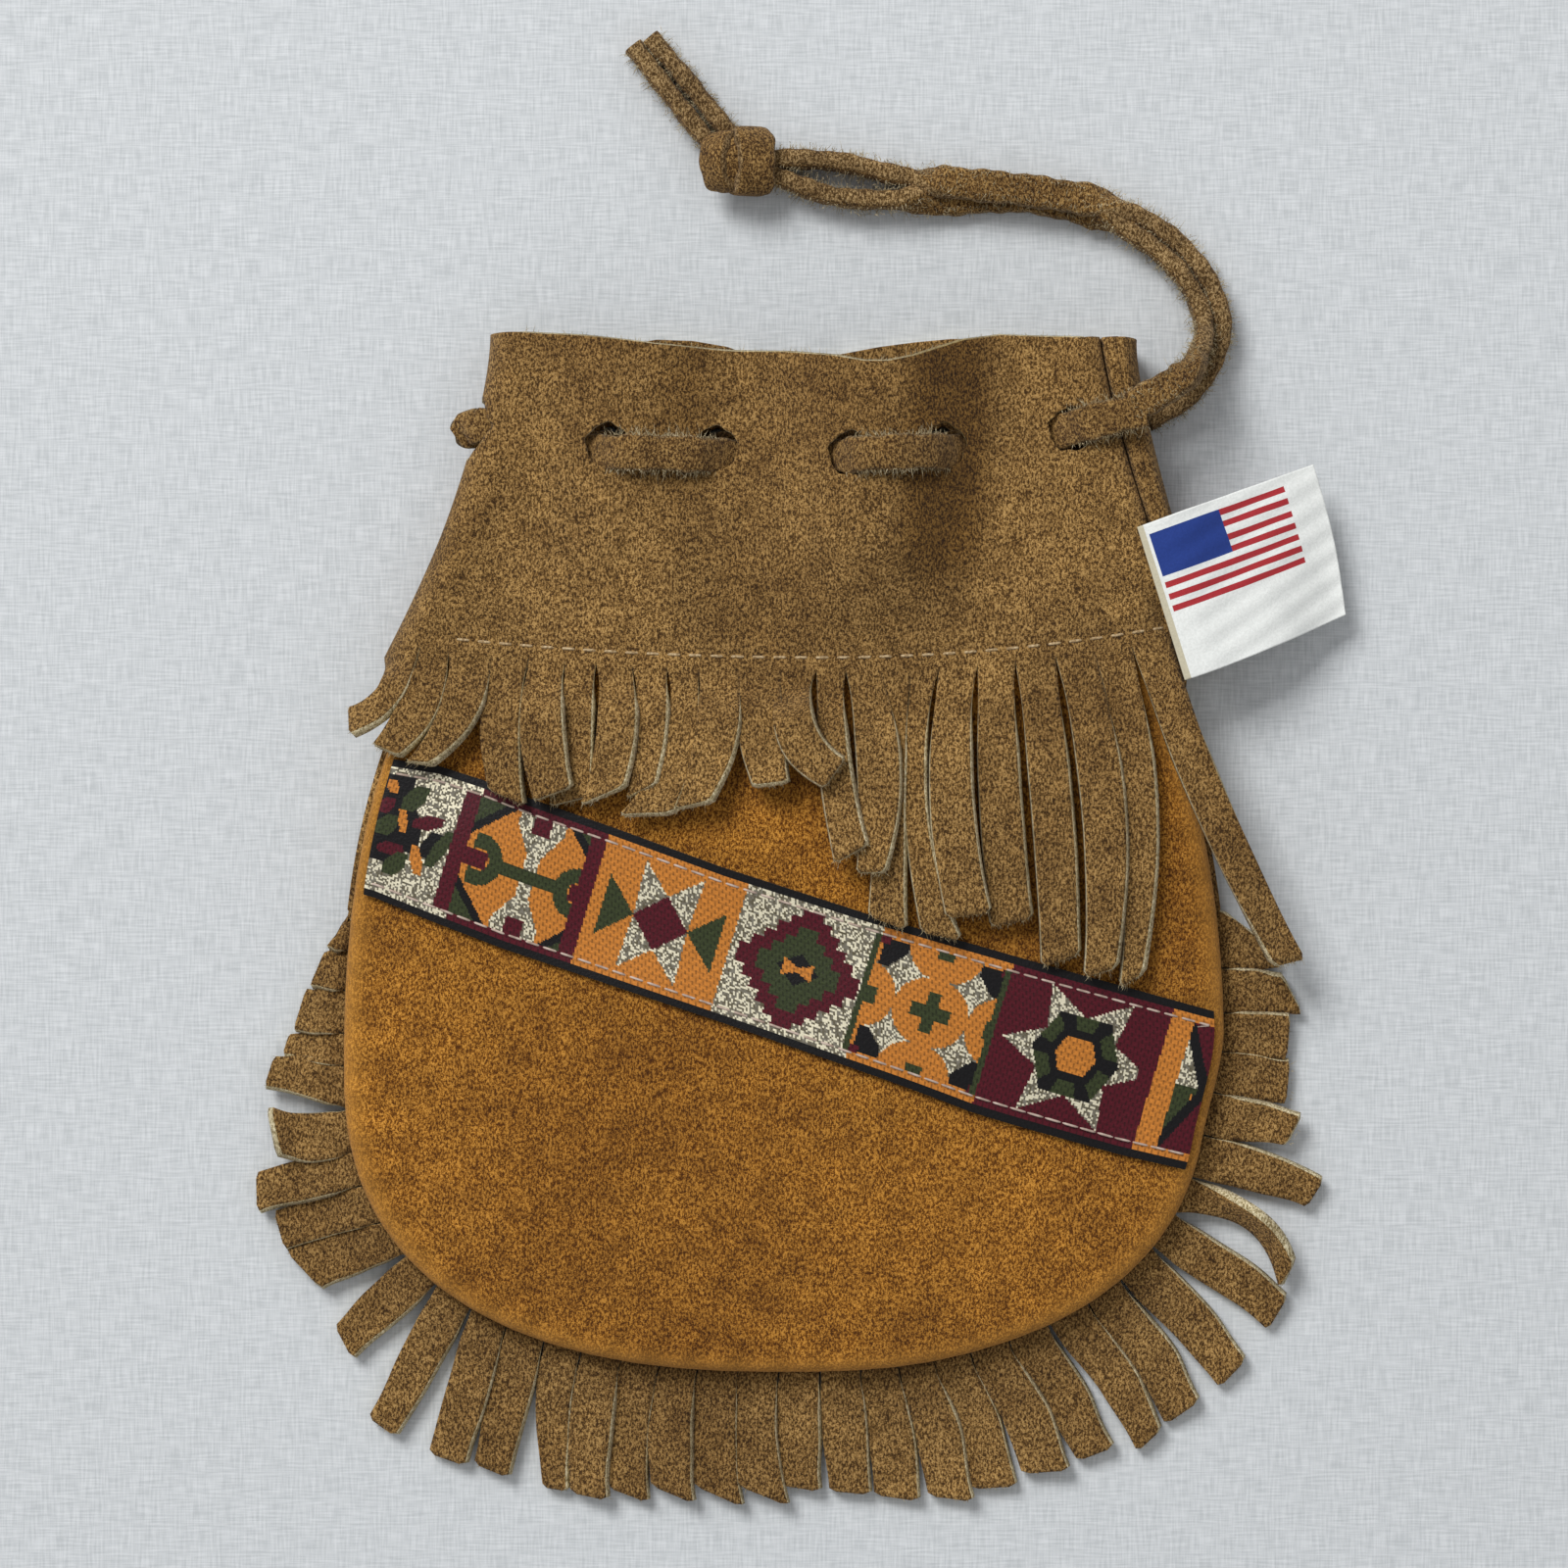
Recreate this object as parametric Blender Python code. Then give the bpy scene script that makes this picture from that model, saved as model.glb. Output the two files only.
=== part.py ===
"""Fringed suede pouch lying on its back, drawn up by a suede lace.

Metres, +Z up. The origin is on the surface that the pouch lies on, under the
widest level of the body; +X runs across the body and +Y towards the mouth.

A wide suede band forms the neck. It is folded at its left side, joined by a
turned seam at its right side, and its lower edge is slit into a fringe. The
body is a crowned front panel and a flat back panel, and a fringed strip is
caught in the turned seam between them. A woven ribbon crosses the front.
Every sheet is worked out as its middle surface and then gets its thickness.
"""

import math

import bmesh
import bpy
import numpy as np

# Leather
SUEDE = 0.0014
CLEARANCE = 0.0003

# Body panels: the round lower end is a quarter of a full curve on each side
BODY_HALF_WIDTH = 0.0622
BODY_ROUND_DEPTH = 0.0427
BODY_ROUNDNESS = 2.45
BODY_TOP = 0.064
BODY_TOP_HALF_WIDTH = 0.0475
BODY_TAPER_POWER = 2.4
EDGE_ROLL = 0.0016
SEAM_ALLOWANCE = 0.005
BODY_CROWN = 0.0035
TOP_CROWN = 0.0010
INSET_REFERENCE = 0.050

# Fringed strip in the side and bottom seam
EDGE_STRIPS = 37
EDGE_FRINGE_START = 0.022
EDGE_WELT = 0.0016
EDGE_SLIT_ROOT = 0.0008
EDGE_SLOPE_LENGTH = 0.006
EDGE_STRIP_LENGTHS = (0.0055, 0.011, 0.017, 0.022, 0.021, 0.020, 0.0135, 0.012)
EDGE_STRIP_PLACES = (0.0, 0.10, 0.25, 0.33, 0.60, 0.75, 0.88, 1.0)
EDGE_SWAY = 0.0008
EDGE_TIP_NARROWING = 0.0004

# Band round the neck
YOKE_TOP = 0.1046
YOKE_STITCH = 0.0585
YOKE_STITCH_CENTRE = 0.005
YOKE_STITCH_BOW_LEFT = 1.0
YOKE_STITCH_BOW_RIGHT = 1.8
STITCH_TO_SLIT = 0.0017
MOUTH_LEFT = -0.0413
MOUTH_RIGHT = 0.0448
MOUTH_DIP = 0.003
MOUTH_DIP_PLACE = 0.010
MOUTH_DIP_WIDTH = 0.016
YOKE_EASE_LEFT = 0.0062
YOKE_EASE_RIGHT = 0.0080
FOLD_RADIUS = 0.004
SEAM_FLAP = 0.0042
SEAM_TURN = 0.0011
WRAP_TOP = 0.0052
WRAP_ROOT = 0.0044
RIPPLE = 0.0006
RIPPLE_LENGTH = 0.028
RIPPLE_CREST = 0.0063

# Fringe of the band
YOKE_COLUMNS = 22
BACK_COLUMNS = 18
STRIP_GAP = 0.0005
FRONT_DROP_PLACES = (-0.057, -0.052, -0.040, -0.010, 0.005, 0.013, 0.036, 0.048, 0.058)
FRONT_DROPS = (0.009, 0.014, 0.020, 0.021, 0.019, 0.034, 0.043, 0.048, 0.046)
FRONT_LEAN_PLACES = (-0.057, -0.048, -0.040, 0.034, 0.046, 0.054)
FRONT_LEANS = (-0.007, -0.005, -0.0005, 0.0015, 0.0020, 0.0140)
TIP_CURL = 0.0012
BACK_DROP = 0.019
LIFT_RAMP = 0.022

# Lace and its holes, in pairs from left to right; the same holes pass both layers
LACE_WIDTH = 0.0050
LACE_THICK = 0.0020
LACE_LEVEL = 0.0886
HOLE_DIAMETER = 0.0076
HOLE_PLACES = (-0.0252, -0.0095, 0.0084, 0.0234, 0.0398)
FOLD_HOLE_HEIGHT = 0.0064
FOLD_HOLE_LENGTH = 0.0088
HOLE_PASS = 0.0033
PUNCH_SIDES = 14
PUNCH_DEPTH = 0.060
FOLD_LOOP = 0.0040
STRAND_DIAMETER = 0.0026
STRAND_SPACING = 0.0030
KNOT_LENGTH = 0.0100
KNOT_WIDTH = 0.0080
KNOT_HEIGHT = 0.0056

# Woven ribbon sewn across the front panel
RIBBON_WIDTH = 0.0215
RIBBON_THICK = 0.0006
RIBBON_LEFT_LEVEL = 0.035
RIBBON_RIGHT_LEVEL = -0.003

# Folded label caught in the right seam of the band
LABEL_WIDTH = 0.0255
LABEL_HEIGHT = 0.0215
LABEL_THICK = 0.0004
LABEL_TOP = 0.0762
LABEL_TAIL = 0.0028
LABEL_TILT = math.radians(21)

LAYER = SUEDE + CLEARANCE
HALF = SUEDE / 2
PASS = HALF + CLEARANCE + LACE_THICK / 2
SEAM_GAP = LABEL_THICK + 2 * CLEARANCE
BACK_RISE = LACE_THICK + 1.5 * CLEARANCE
YOKE_ROOT = YOKE_STITCH - STITCH_TO_SLIT
LIFT_FULL = YOKE_ROOT - BACK_DROP - 2 * CLEARANCE

# Middle line of the free pair of strands: points on the surface, right seam to knot
PAIR_ROUTE = (
    (0.0530, 0.0926),
    (0.0570, 0.0970),
    (0.0600, 0.1010),
    (0.0615, 0.1055),
    (0.0605, 0.1105),
    (0.0573, 0.1155),
    (0.0525, 0.1196),
    (0.0465, 0.1228),
    (0.0400, 0.1247),
    (0.0330, 0.1257),
    (0.0250, 0.1258),
    (0.0160, 0.1262),
    (0.0075, 0.1274),
    (-0.0005, 0.1290),
)
KNOT_CENTRE = (-0.0062, 0.1296)
TAIL_TIPS = ((-0.0222, 0.1466), (-0.0183, 0.1490))


def smooth(t):
    """0 below 0, 1 above 1, and a smooth step between."""
    t = np.clip(t, 0.0, 1.0)
    return t * t * (3 - 2 * t)


def lift(y):
    """How far the body is raised by the band's back fringe under it."""
    return LAYER * smooth((y - LIFT_FULL + LIFT_RAMP) / LIFT_RAMP)


def half_width(y):
    """Half the body's width: constant below its widest level, tapering above."""
    share = np.clip(y / BODY_TOP, 0.0, 1.1) ** BODY_TAPER_POWER
    return BODY_HALF_WIDTH - (BODY_HALF_WIDTH - BODY_TOP_HALF_WIDTH) * share


def ring(x, y):
    """0 on the middle line of the body, 1 on its outline."""
    across = (np.abs(x) / half_width(y)) ** BODY_ROUNDNESS
    down = (np.clip(-y, 0.0, None) / BODY_ROUND_DEPTH) ** BODY_ROUNDNESS
    return (across + down) ** (1 / BODY_ROUNDNESS)


def flap_level(y):
    """Middle of the front panel's seam allowance, which lies on the fringed strip."""
    return lift(y) + 2 * LAYER + HALF


def front_level(x, y):
    """Middle surface of the front panel above its rolled edge, at a place in plan."""
    q = ring(x, y)
    inset = np.clip((1 - q) * INSET_REFERENCE, 0.0, EDGE_ROLL)
    roll = EDGE_ROLL + np.sqrt(np.clip(EDGE_ROLL**2 - (EDGE_ROLL - inset) ** 2, 0.0, None))
    q_roll = 1 - EDGE_ROLL / INSET_REFERENCE
    crown = BODY_CROWN + (TOP_CROWN - BODY_CROWN) * smooth((y - 0.010) / (BODY_TOP - 0.016))
    return flap_level(y) + roll + crown * np.clip(1 - (q / q_roll) ** 2, 0.0, None)


def cover_level(x, y):
    """A smooth level just over the front panel that comes down outside its outline."""
    q = ring(x, y)
    full = front_level(x * np.minimum(1.0, 0.96 / np.maximum(q, 1e-6)), y)
    outside = (q - 1) * INSET_REFERENCE
    low = LAYER + SUEDE + CLEARANCE
    return full + (low - full) * smooth((outside - 0.003) / 0.010)


def stitch_level(x):
    """The sewn line that holds the band to the body, bowed up towards the sides."""
    d = x - YOKE_STITCH_CENTRE
    bow = np.where(d < 0, YOKE_STITCH_BOW_LEFT, YOKE_STITCH_BOW_RIGHT)
    return YOKE_STITCH + bow * d**2


def slope_share(y):
    """0 at the mouth and 1 at the root of the fringe."""
    return np.clip((YOKE_TOP - y) / (YOKE_TOP - YOKE_ROOT), 0.0, 1.2)


def fold_x(y):
    """Outermost place of the left fold."""
    root = -(half_width(YOKE_ROOT) + YOKE_EASE_LEFT)
    return MOUTH_LEFT + (root - MOUTH_LEFT) * slope_share(y) ** 1.6


def seam_x(y):
    """The crease of the right seam."""
    root = half_width(YOKE_ROOT) + YOKE_EASE_RIGHT
    return MOUTH_RIGHT + (root - MOUTH_RIGHT) * slope_share(y) ** 1.3


def wrap_x(y):
    """Outermost place of the right side, past the seam."""
    return seam_x(y) + WRAP_TOP + (WRAP_ROOT - WRAP_TOP) * slope_share(y) ** 0.5


def back_level(y):
    """Middle of the band's back layer: it rises over the lace that runs under it."""
    away = np.abs(y - LACE_LEVEL) - 0.7 * LACE_WIDTH
    return HALF + BACK_RISE * (1 - smooth(away / 0.012))


def neck_level(x, y):
    """Middle of the band's front layer above the body's top edge, softly rippled."""
    lace = HALF + BACK_RISE + 2 * PASS + LACE_THICK + CLEARANCE + RIPPLE
    ripple = RIPPLE * np.cos(2 * math.pi * (x - RIPPLE_CREST) / RIPPLE_LENGTH)
    return lace + ripple * smooth((y - BODY_TOP) / 0.020)


def yoke_level(x, y):
    """Middle of the band's front layer, from the fringe's root to the mouth."""
    sewn = cover_level(x, np.minimum(y, BODY_TOP)) + LAYER
    share = smooth((y - BODY_TOP) / (LACE_LEVEL - BODY_TOP - 0.5 * LACE_WIDTH))
    return sewn + (neck_level(x, y) - sewn) * share


def material(name, colour, roughness):
    """A plain finish of one colour."""
    made = bpy.data.materials.new(name)
    made.use_nodes = True
    shader = made.node_tree.nodes["Principled BSDF"]
    shader.inputs["Base Color"].default_value = (*colour, 1.0)
    shader.inputs["Roughness"].default_value = roughness
    shader.inputs["Metallic"].default_value = 0.0
    return made


def mesh_object(name, points, faces, finish):
    """An object of its own mesh, with doubled points merged."""
    mesh = bpy.data.meshes.new(name)
    mesh.from_pydata([tuple(map(float, p)) for p in points], [], faces)
    made = bpy.data.objects.new(name, mesh)
    bpy.context.collection.objects.link(made)
    work = bmesh.new()
    work.from_mesh(mesh)
    bmesh.ops.remove_doubles(work, verts=work.verts, dist=1e-6)
    bmesh.ops.dissolve_degenerate(work, edges=work.edges, dist=1e-7)
    work.to_mesh(mesh)
    work.free()
    mesh.materials.append(finish)
    mesh.shade_smooth()
    return made


def sheet_object(name, points, faces, thickness, finish):
    """A sheet: its middle surface, thickened by a modifier to both sides."""
    made = mesh_object(name, points, faces, finish)
    wall = made.modifiers.new("leather_thickness", "SOLIDIFY")
    wall.thickness = thickness
    wall.offset = 0.0
    wall.use_even_offset = False
    wall.use_rim = True
    return made


def grid_faces(ids):
    """Four-sided faces between the rows of an array of point numbers."""
    rows, columns = ids.shape
    return [
        (int(ids[r, c]), int(ids[r, c + 1]), int(ids[r + 1, c + 1]), int(ids[r + 1, c]))
        for r in range(rows - 1)
        for c in range(columns - 1)
    ]


class Outline:
    """The body's outline from the top left, round the bottom, to the top right."""

    def __init__(self):
        side = np.linspace(BODY_TOP, 0.0, 200)
        turn = np.linspace(0.0, math.pi / 2, 400)
        arc_x = BODY_HALF_WIDTH * np.cos(turn) ** (2 / BODY_ROUNDNESS)
        arc_y = -BODY_ROUND_DEPTH * np.sin(turn) ** (2 / BODY_ROUNDNESS)
        x = np.concatenate([half_width(side), arc_x[1:]])
        y = np.concatenate([side, arc_y[1:]])
        self.x = np.concatenate([-x, x[-2::-1]])
        self.y = np.concatenate([y, y[-2::-1]])
        steps = np.hypot(np.diff(self.x), np.diff(self.y))
        self.s = np.concatenate([[0.0], np.cumsum(steps)])
        self.length = self.s[-1]

    def at(self, s):
        """Places in plan at these distances along the outline."""
        return np.interp(s, self.s, self.x), np.interp(s, self.s, self.y)

    def outward(self, s):
        """Directions square to the outline, away from the body."""
        reach = 0.0012
        x0, y0 = self.at(np.clip(s - reach, 0, self.length))
        x1, y1 = self.at(np.clip(s + reach, 0, self.length))
        size = np.hypot(x1 - x0, y1 - y0)
        return (y1 - y0) / size, (x0 - x1) / size

    def distance_at_level(self, y):
        """How far along the left side a level is."""
        left = slice(0, 200)
        return float(np.interp(-y, -self.y[left], self.s[left]))


def panel_columns(outline):
    """Distances along the outline, closer on the sides, where the body is lifted."""
    side = outline.distance_at_level(0.0)
    left = np.linspace(0.0, side, 13)
    round_end = np.linspace(side, outline.length - side, 23)
    right = np.linspace(outline.length - side, outline.length, 13)
    return np.concatenate([left, round_end[1:-1], right])


def ring_points(outline, columns, q):
    """Places on the ring q: pulled in across, and below the widest level also up."""
    x, y = outline.at(columns)
    return q * x, np.where(y < 0, q * y, y)


def front_panel(outline, finish):
    """Crowned panel whose edge rolls over and back under as a seam allowance."""
    columns = panel_columns(outline)
    rows = []
    inner = 1 - SEAM_ALLOWANCE / INSET_REFERENCE
    x, y = ring_points(outline, columns, inner)
    rows.append(np.stack([x, y, flap_level(y)], 1))
    for degrees in (-90, -40, 10, 50, 90):
        angle = math.radians(degrees)
        q = 1 - EDGE_ROLL * (1 - math.cos(angle)) / INSET_REFERENCE
        x, y = ring_points(outline, columns, q)
        z = flap_level(y) + EDGE_ROLL * (1 + math.sin(angle))
        rows.append(np.stack([x, y, z], 1))
    for q in (0.86, 0.68, 0.46, 0.23, 0.0):
        x, y = ring_points(outline, columns, q)
        rows.append(np.stack([x, y, front_level(x, y)], 1))
    ids = np.arange(len(rows) * len(columns)).reshape(len(rows), len(columns))
    return sheet_object("front_panel", np.concatenate(rows), grid_faces(ids), SUEDE, finish)


def back_panel(outline, finish):
    """Flat panel on the surface, lifted at its top by the band's back fringe."""
    columns = panel_columns(outline)
    rows = []
    for q in (1 - CLEARANCE / INSET_REFERENCE, 0.7, 0.35, 0.0):
        x, y = ring_points(outline, columns, q)
        rows.append(np.stack([x, y, lift(y) + HALF], 1))
    ids = np.arange(len(rows) * len(columns)).reshape(len(rows), len(columns))
    return sheet_object("back_panel", np.concatenate(rows), grid_faces(ids), SUEDE, finish)


def edge_level(y, out):
    """Middle of the fringed strip: level in the seam, then down to the surface."""
    seat = lift(y) + LAYER + HALF
    return seat + (HALF - seat) * smooth((out - EDGE_SLIT_ROOT) / EDGE_SLOPE_LENGTH)


def edge_fringe(outline, finish):
    """Strip caught in the seam: a welt up both sides, and cut strips round the bottom."""
    start = outline.distance_at_level(EDGE_FRINGE_START)
    upper = np.linspace(0.0, start, 9)
    cuts = np.linspace(start, outline.length - start, EDGE_STRIPS + 1)
    columns = np.concatenate([upper[:-1], cuts, outline.length - upper[-2::-1]])
    first, last = len(upper) - 1, len(upper) - 1 + EDGE_STRIPS
    px, py = outline.at(columns)
    nx, ny = outline.outward(columns)
    points = []

    def row(out):
        x, y = px + nx * out, py + ny * out
        z = edge_level(py, EDGE_SLIT_ROOT)
        start_id = len(points)
        points.extend(np.stack([x, y, z], 1))
        return start_id + np.arange(len(columns))

    inner, root = row(-SEAM_ALLOWANCE), row(EDGE_SLIT_ROOT)
    faces = grid_faces(np.stack([inner, root]))
    welt = row(EDGE_WELT)
    for low, high in ((0, first), (last, len(columns) - 1)):
        faces += grid_faces(np.stack([root[low : high + 1], welt[low : high + 1]]))
    shares = np.array([0.0, 0.16, 0.36, 0.60, 0.82, 1.0])
    for number in range(EDGE_STRIPS):
        left, right = first + number, first + number + 1
        middle = (columns[left] + columns[right]) / 2
        place = (number + 0.5) / EDGE_STRIPS
        length = np.interp(place, EDGE_STRIP_PLACES, EDGE_STRIP_LENGTHS)
        sway = EDGE_SWAY * math.sin(0.6 * number)
        mx, my = outline.at(middle)
        ox, oy = outline.outward(middle)
        tangent = np.array([-oy, ox])
        previous = np.array([root[left], root[right]])
        width = math.dist(points[root[left]][:2], points[root[right]][:2]) - STRIP_GAP
        for share in shares[1:]:
            out = EDGE_SLIT_ROOT + share * length
            middle_of_row = np.array([mx + ox * out, my + oy * out]) + tangent * sway * share**2
            level = edge_level(my, out)
            ids = []
            for side in (1, -1):
                half = (width - EDGE_TIP_NARROWING * share) / 2
                place_2d = middle_of_row + tangent * side * half
                ids.append(len(points))
                points.append((place_2d[0], place_2d[1], level))
            if np.dot(np.array(points[previous[0]][:2]) - middle_of_row, tangent) < 0:
                ids = ids[::-1]
            faces += grid_faces(np.stack([previous, np.array(ids)]))
            previous = np.array(ids)
    used = sorted({i for face in faces for i in face})
    renumber = {old: new for new, old in enumerate(used)}
    faces = [tuple(renumber[i] for i in face) for face in faces]
    return sheet_object("edge_fringe", [points[i] for i in used], faces, SUEDE, finish)


def band_section(y):
    """Places across and up of the band at one level, from the seam's front flap,
    leftwards over the front, round the fold, back under, and up to the other flap."""
    seam, fold, wrap = seam_x(y), fold_x(y), wrap_x(y)
    side = SEAM_GAP / 2 + HALF
    start = seam - side - 2 * SEAM_TURN
    top = float(yoke_level(start, y))
    base = float(back_level(y))
    places = [
        (seam - side, top - SEAM_FLAP),
        (seam - side, top - SEAM_TURN),
        (seam - side - 0.5 * SEAM_TURN, top - 0.25 * SEAM_TURN),
    ]
    end = fold + FOLD_RADIUS
    for share in np.linspace(0, 1, YOKE_COLUMNS + 1):
        x = start + (end - start) * share
        places.append((x, float(yoke_level(x, y))))
    high = places[-1][1]
    middle, reach = (high + base) / 2, (high - base) / 2
    for degrees in (30, 60, 90, 120, 150):
        angle = math.radians(degrees)
        places.append((end - FOLD_RADIUS * math.sin(angle), middle + reach * math.cos(angle)))
    far = wrap - FOLD_RADIUS
    for share in np.linspace(0, 1, BACK_COLUMNS + 1):
        places.append((end + (far - end) * share, base))
    shoulder = seam + side + 1.4 * SEAM_TURN
    rim = top - 0.2 * SEAM_TURN
    middle, reach = (rim + base) / 2, (rim - base) / 2
    for degrees in (35, 65, 90):
        angle = math.radians(degrees)
        places.append((far + FOLD_RADIUS * math.sin(angle), middle - reach * math.cos(angle)))
    for degrees in (55, 25):
        angle = math.radians(degrees)
        x = shoulder + (wrap - shoulder) * math.sin(angle)
        places.append((x, middle + reach * math.cos(angle)))
    places += [
        (shoulder, rim),
        (seam + side, rim - SEAM_TURN),
        (seam + side, top - SEAM_FLAP),
    ]
    return np.array(places)


def mouth_level(x):
    """The front's upper edge, which dips between its two soft peaks."""
    return YOKE_TOP - 0.0006 - MOUTH_DIP * np.exp(-(((x - MOUTH_DIP_PLACE) / MOUTH_DIP_WIDTH) ** 2))


def band_rows():
    """Points of the band, row by row from the fringe's root to the mouth.

    Each column keeps its share of the section, and its own root and mouth level."""
    shares = np.array([0.0, 0.10, 0.24, 0.40, 0.54, 0.64, 0.76, 0.88, 1.0])
    front = 3 + YOKE_COLUMNS + 1
    at_root = band_section(YOKE_ROOT)
    at_mouth = band_section(YOKE_TOP)
    count = len(at_root)
    root = np.full(count, YOKE_ROOT)
    mouth = np.full(count, YOKE_TOP)
    root[:front] = stitch_level(at_root[:front, 0]) - STITCH_TO_SLIT
    mouth[:front] = mouth_level(at_mouth[:front, 0])
    fold = np.linspace(0, 1, 7)[1:-1]
    root[front : front + 5] = root[front - 1] + (YOKE_ROOT - root[front - 1]) * smooth(fold)
    mouth[front : front + 5] = mouth[front - 1] + (YOKE_TOP - mouth[front - 1]) * smooth(fold)
    wrap = np.linspace(0, 1, 6)[1:]
    root[-8:-3] = YOKE_ROOT + (root[0] - YOKE_ROOT) * smooth(wrap)
    root[-3:] = root[0]
    rows = []
    for share in shares:
        levels = root + (mouth - root) * share
        row = []
        for column, y in enumerate(levels):
            x, z = band_section(y)[column]
            row.append((x, y, z))
        rows.append(row)
    return rows


def strip_rows(root, drop, lean, width, shares, level_at, curl):
    """Points of one fringe strip below its root points, curling a little at the tip."""
    root = np.array(root)
    middle = root.mean(axis=0)
    across = root - middle
    full = np.linalg.norm(root[-1, :2] - root[0, :2])
    rows = []
    for share in shares:
        x0 = middle[0] + lean * share**1.5
        y0 = middle[1] - drop * share
        row = []
        for offset in across:
            side = offset[0] / full * width if full > 0.5 * width else offset[0]
            x = x0 + side
            y = y0 + offset[1] * (1 - share)
            settled = level_at(x, y) + curl * share**3
            low = smooth(np.array(share / 0.5))
            held = middle[2] + offset[2] if abs(offset[2]) > SUEDE else settled
            row.append((x, y, float(held + (settled - held) * low)))
        rows.append(row)
    return rows


def front_strip_level(x, y):
    """The strips lie on the front panel and on the ribbon sewn to it."""
    root = stitch_level(x) - STITCH_TO_SLIT
    over_ribbon = (RIBBON_THICK + CLEARANCE) * smooth((root - y) / 0.006)
    return float(cover_level(x, y) + LAYER + over_ribbon)


def yoke_band(finish):
    """Band of the neck with its fringe, as one folded and slit sheet."""
    rows = band_rows()
    points = [p for row in rows for p in row]
    count = len(rows[0])
    ids = np.arange(len(points)).reshape(len(rows), count)
    faces = grid_faces(ids)
    first = 3
    groups = [(first, first + 2)]
    groups += [(c, c + 1) for c in range(first + 2, first + YOKE_COLUMNS)]
    groups.append((first + YOKE_COLUMNS, first + YOKE_COLUMNS + 2))
    back_first = first + YOKE_COLUMNS + 6
    back = [(c, c + 1) for c in range(back_first, back_first + BACK_COLUMNS)]

    def hang(low, high, drop, lean, shares, level_at, curl):
        root = [rows[0][c] for c in range(low, high + 1)]
        width = abs(root[-1][0] - root[0][0]) - STRIP_GAP
        previous = ids[0, low : high + 1]
        for row in strip_rows(root, drop, lean, width, shares, level_at, curl):
            new = len(points) + np.arange(len(row))
            points.extend(row)
            faces.extend(grid_faces(np.stack([new, previous])))
            previous = new

    for low, high in groups:
        x = (rows[0][low][0] + rows[0][high][0]) / 2
        drop = float(np.interp(x, FRONT_DROP_PLACES, FRONT_DROPS))
        lean = float(np.interp(x, FRONT_LEAN_PLACES, FRONT_LEANS))
        steps = 4 if drop < 0.025 else 7
        shares = np.linspace(0, 1, steps + 1)[1:] ** 0.9
        hang(low, high, drop, lean, shares, front_strip_level, TIP_CURL)
    for low, high in back:
        hang(low, high, BACK_DROP, 0.0, (0.4, 1.0), lambda x, y: HALF, 0.0)
    made = sheet_object("yoke_band", points, faces, SUEDE, finish)
    for punch in (round_punches(), fold_punch()):
        cut = made.modifiers.new(punch.name, "BOOLEAN")
        cut.operation = "DIFFERENCE"
        cut.solver = "EXACT"
        cut.object = punch
    return made


def punch_object(name, work):
    """A cutter, kept out of the finished model."""
    bmesh.ops.recalc_face_normals(work, faces=work.faces)
    mesh = bpy.data.meshes.new(name)
    work.to_mesh(mesh)
    work.free()
    made = bpy.data.objects.new(name, mesh)
    made.hide_render = True
    made.display_type = "WIRE"
    bpy.context.collection.objects.link(made)
    return made


def add_punch(work, diameter, depth):
    """A round punch on the Z axis. Returns its points."""
    made = bmesh.ops.create_cone(
        work, cap_ends=True, segments=PUNCH_SIDES, radius1=diameter / 2, radius2=diameter / 2, depth=depth
    )
    return made["verts"]


def round_punches():
    """Round punches through both layers, one for each place."""
    work = bmesh.new()
    for x in HOLE_PLACES:
        verts = add_punch(work, HOLE_DIAMETER, PUNCH_DEPTH)
        bmesh.ops.translate(work, verts=verts, vec=(x, LACE_LEVEL, 0.0))
    return punch_object("round_punches", work)


def fold_punch():
    """An oval punch through the fold, from its outer side."""
    work = bmesh.new()
    flat = FOLD_HOLE_HEIGHT / FOLD_HOLE_LENGTH
    for vert in add_punch(work, FOLD_HOLE_LENGTH, 2 * FOLD_RADIUS):
        x, y, z = vert.co
        vert.co = (fold_x(LACE_LEVEL) + z, LACE_LEVEL + y, fold_middle() - x * flat)
    return punch_object("fold_punch", work)


def fold_middle():
    """Height of the middle of the left fold at the lace."""
    end = fold_x(LACE_LEVEL) + FOLD_RADIUS
    return float(yoke_level(end, LACE_LEVEL) + back_level(LACE_LEVEL)) / 2


def lace_side(x, front):
    """The lace's height: outside between the holes of a pair, inside elsewhere."""
    layer = float(yoke_level(x, LACE_LEVEL)) if front else float(back_level(LACE_LEVEL))
    outward = 1.0 if front else -1.0
    level = -1.0
    for number, hole in enumerate(HOLE_PLACES):
        turn = 2 * float(smooth((x - hole + HOLE_PASS) / (2 * HOLE_PASS)))
        level += turn if number % 2 == 0 else -turn
    return layer + outward * PASS * level


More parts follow.
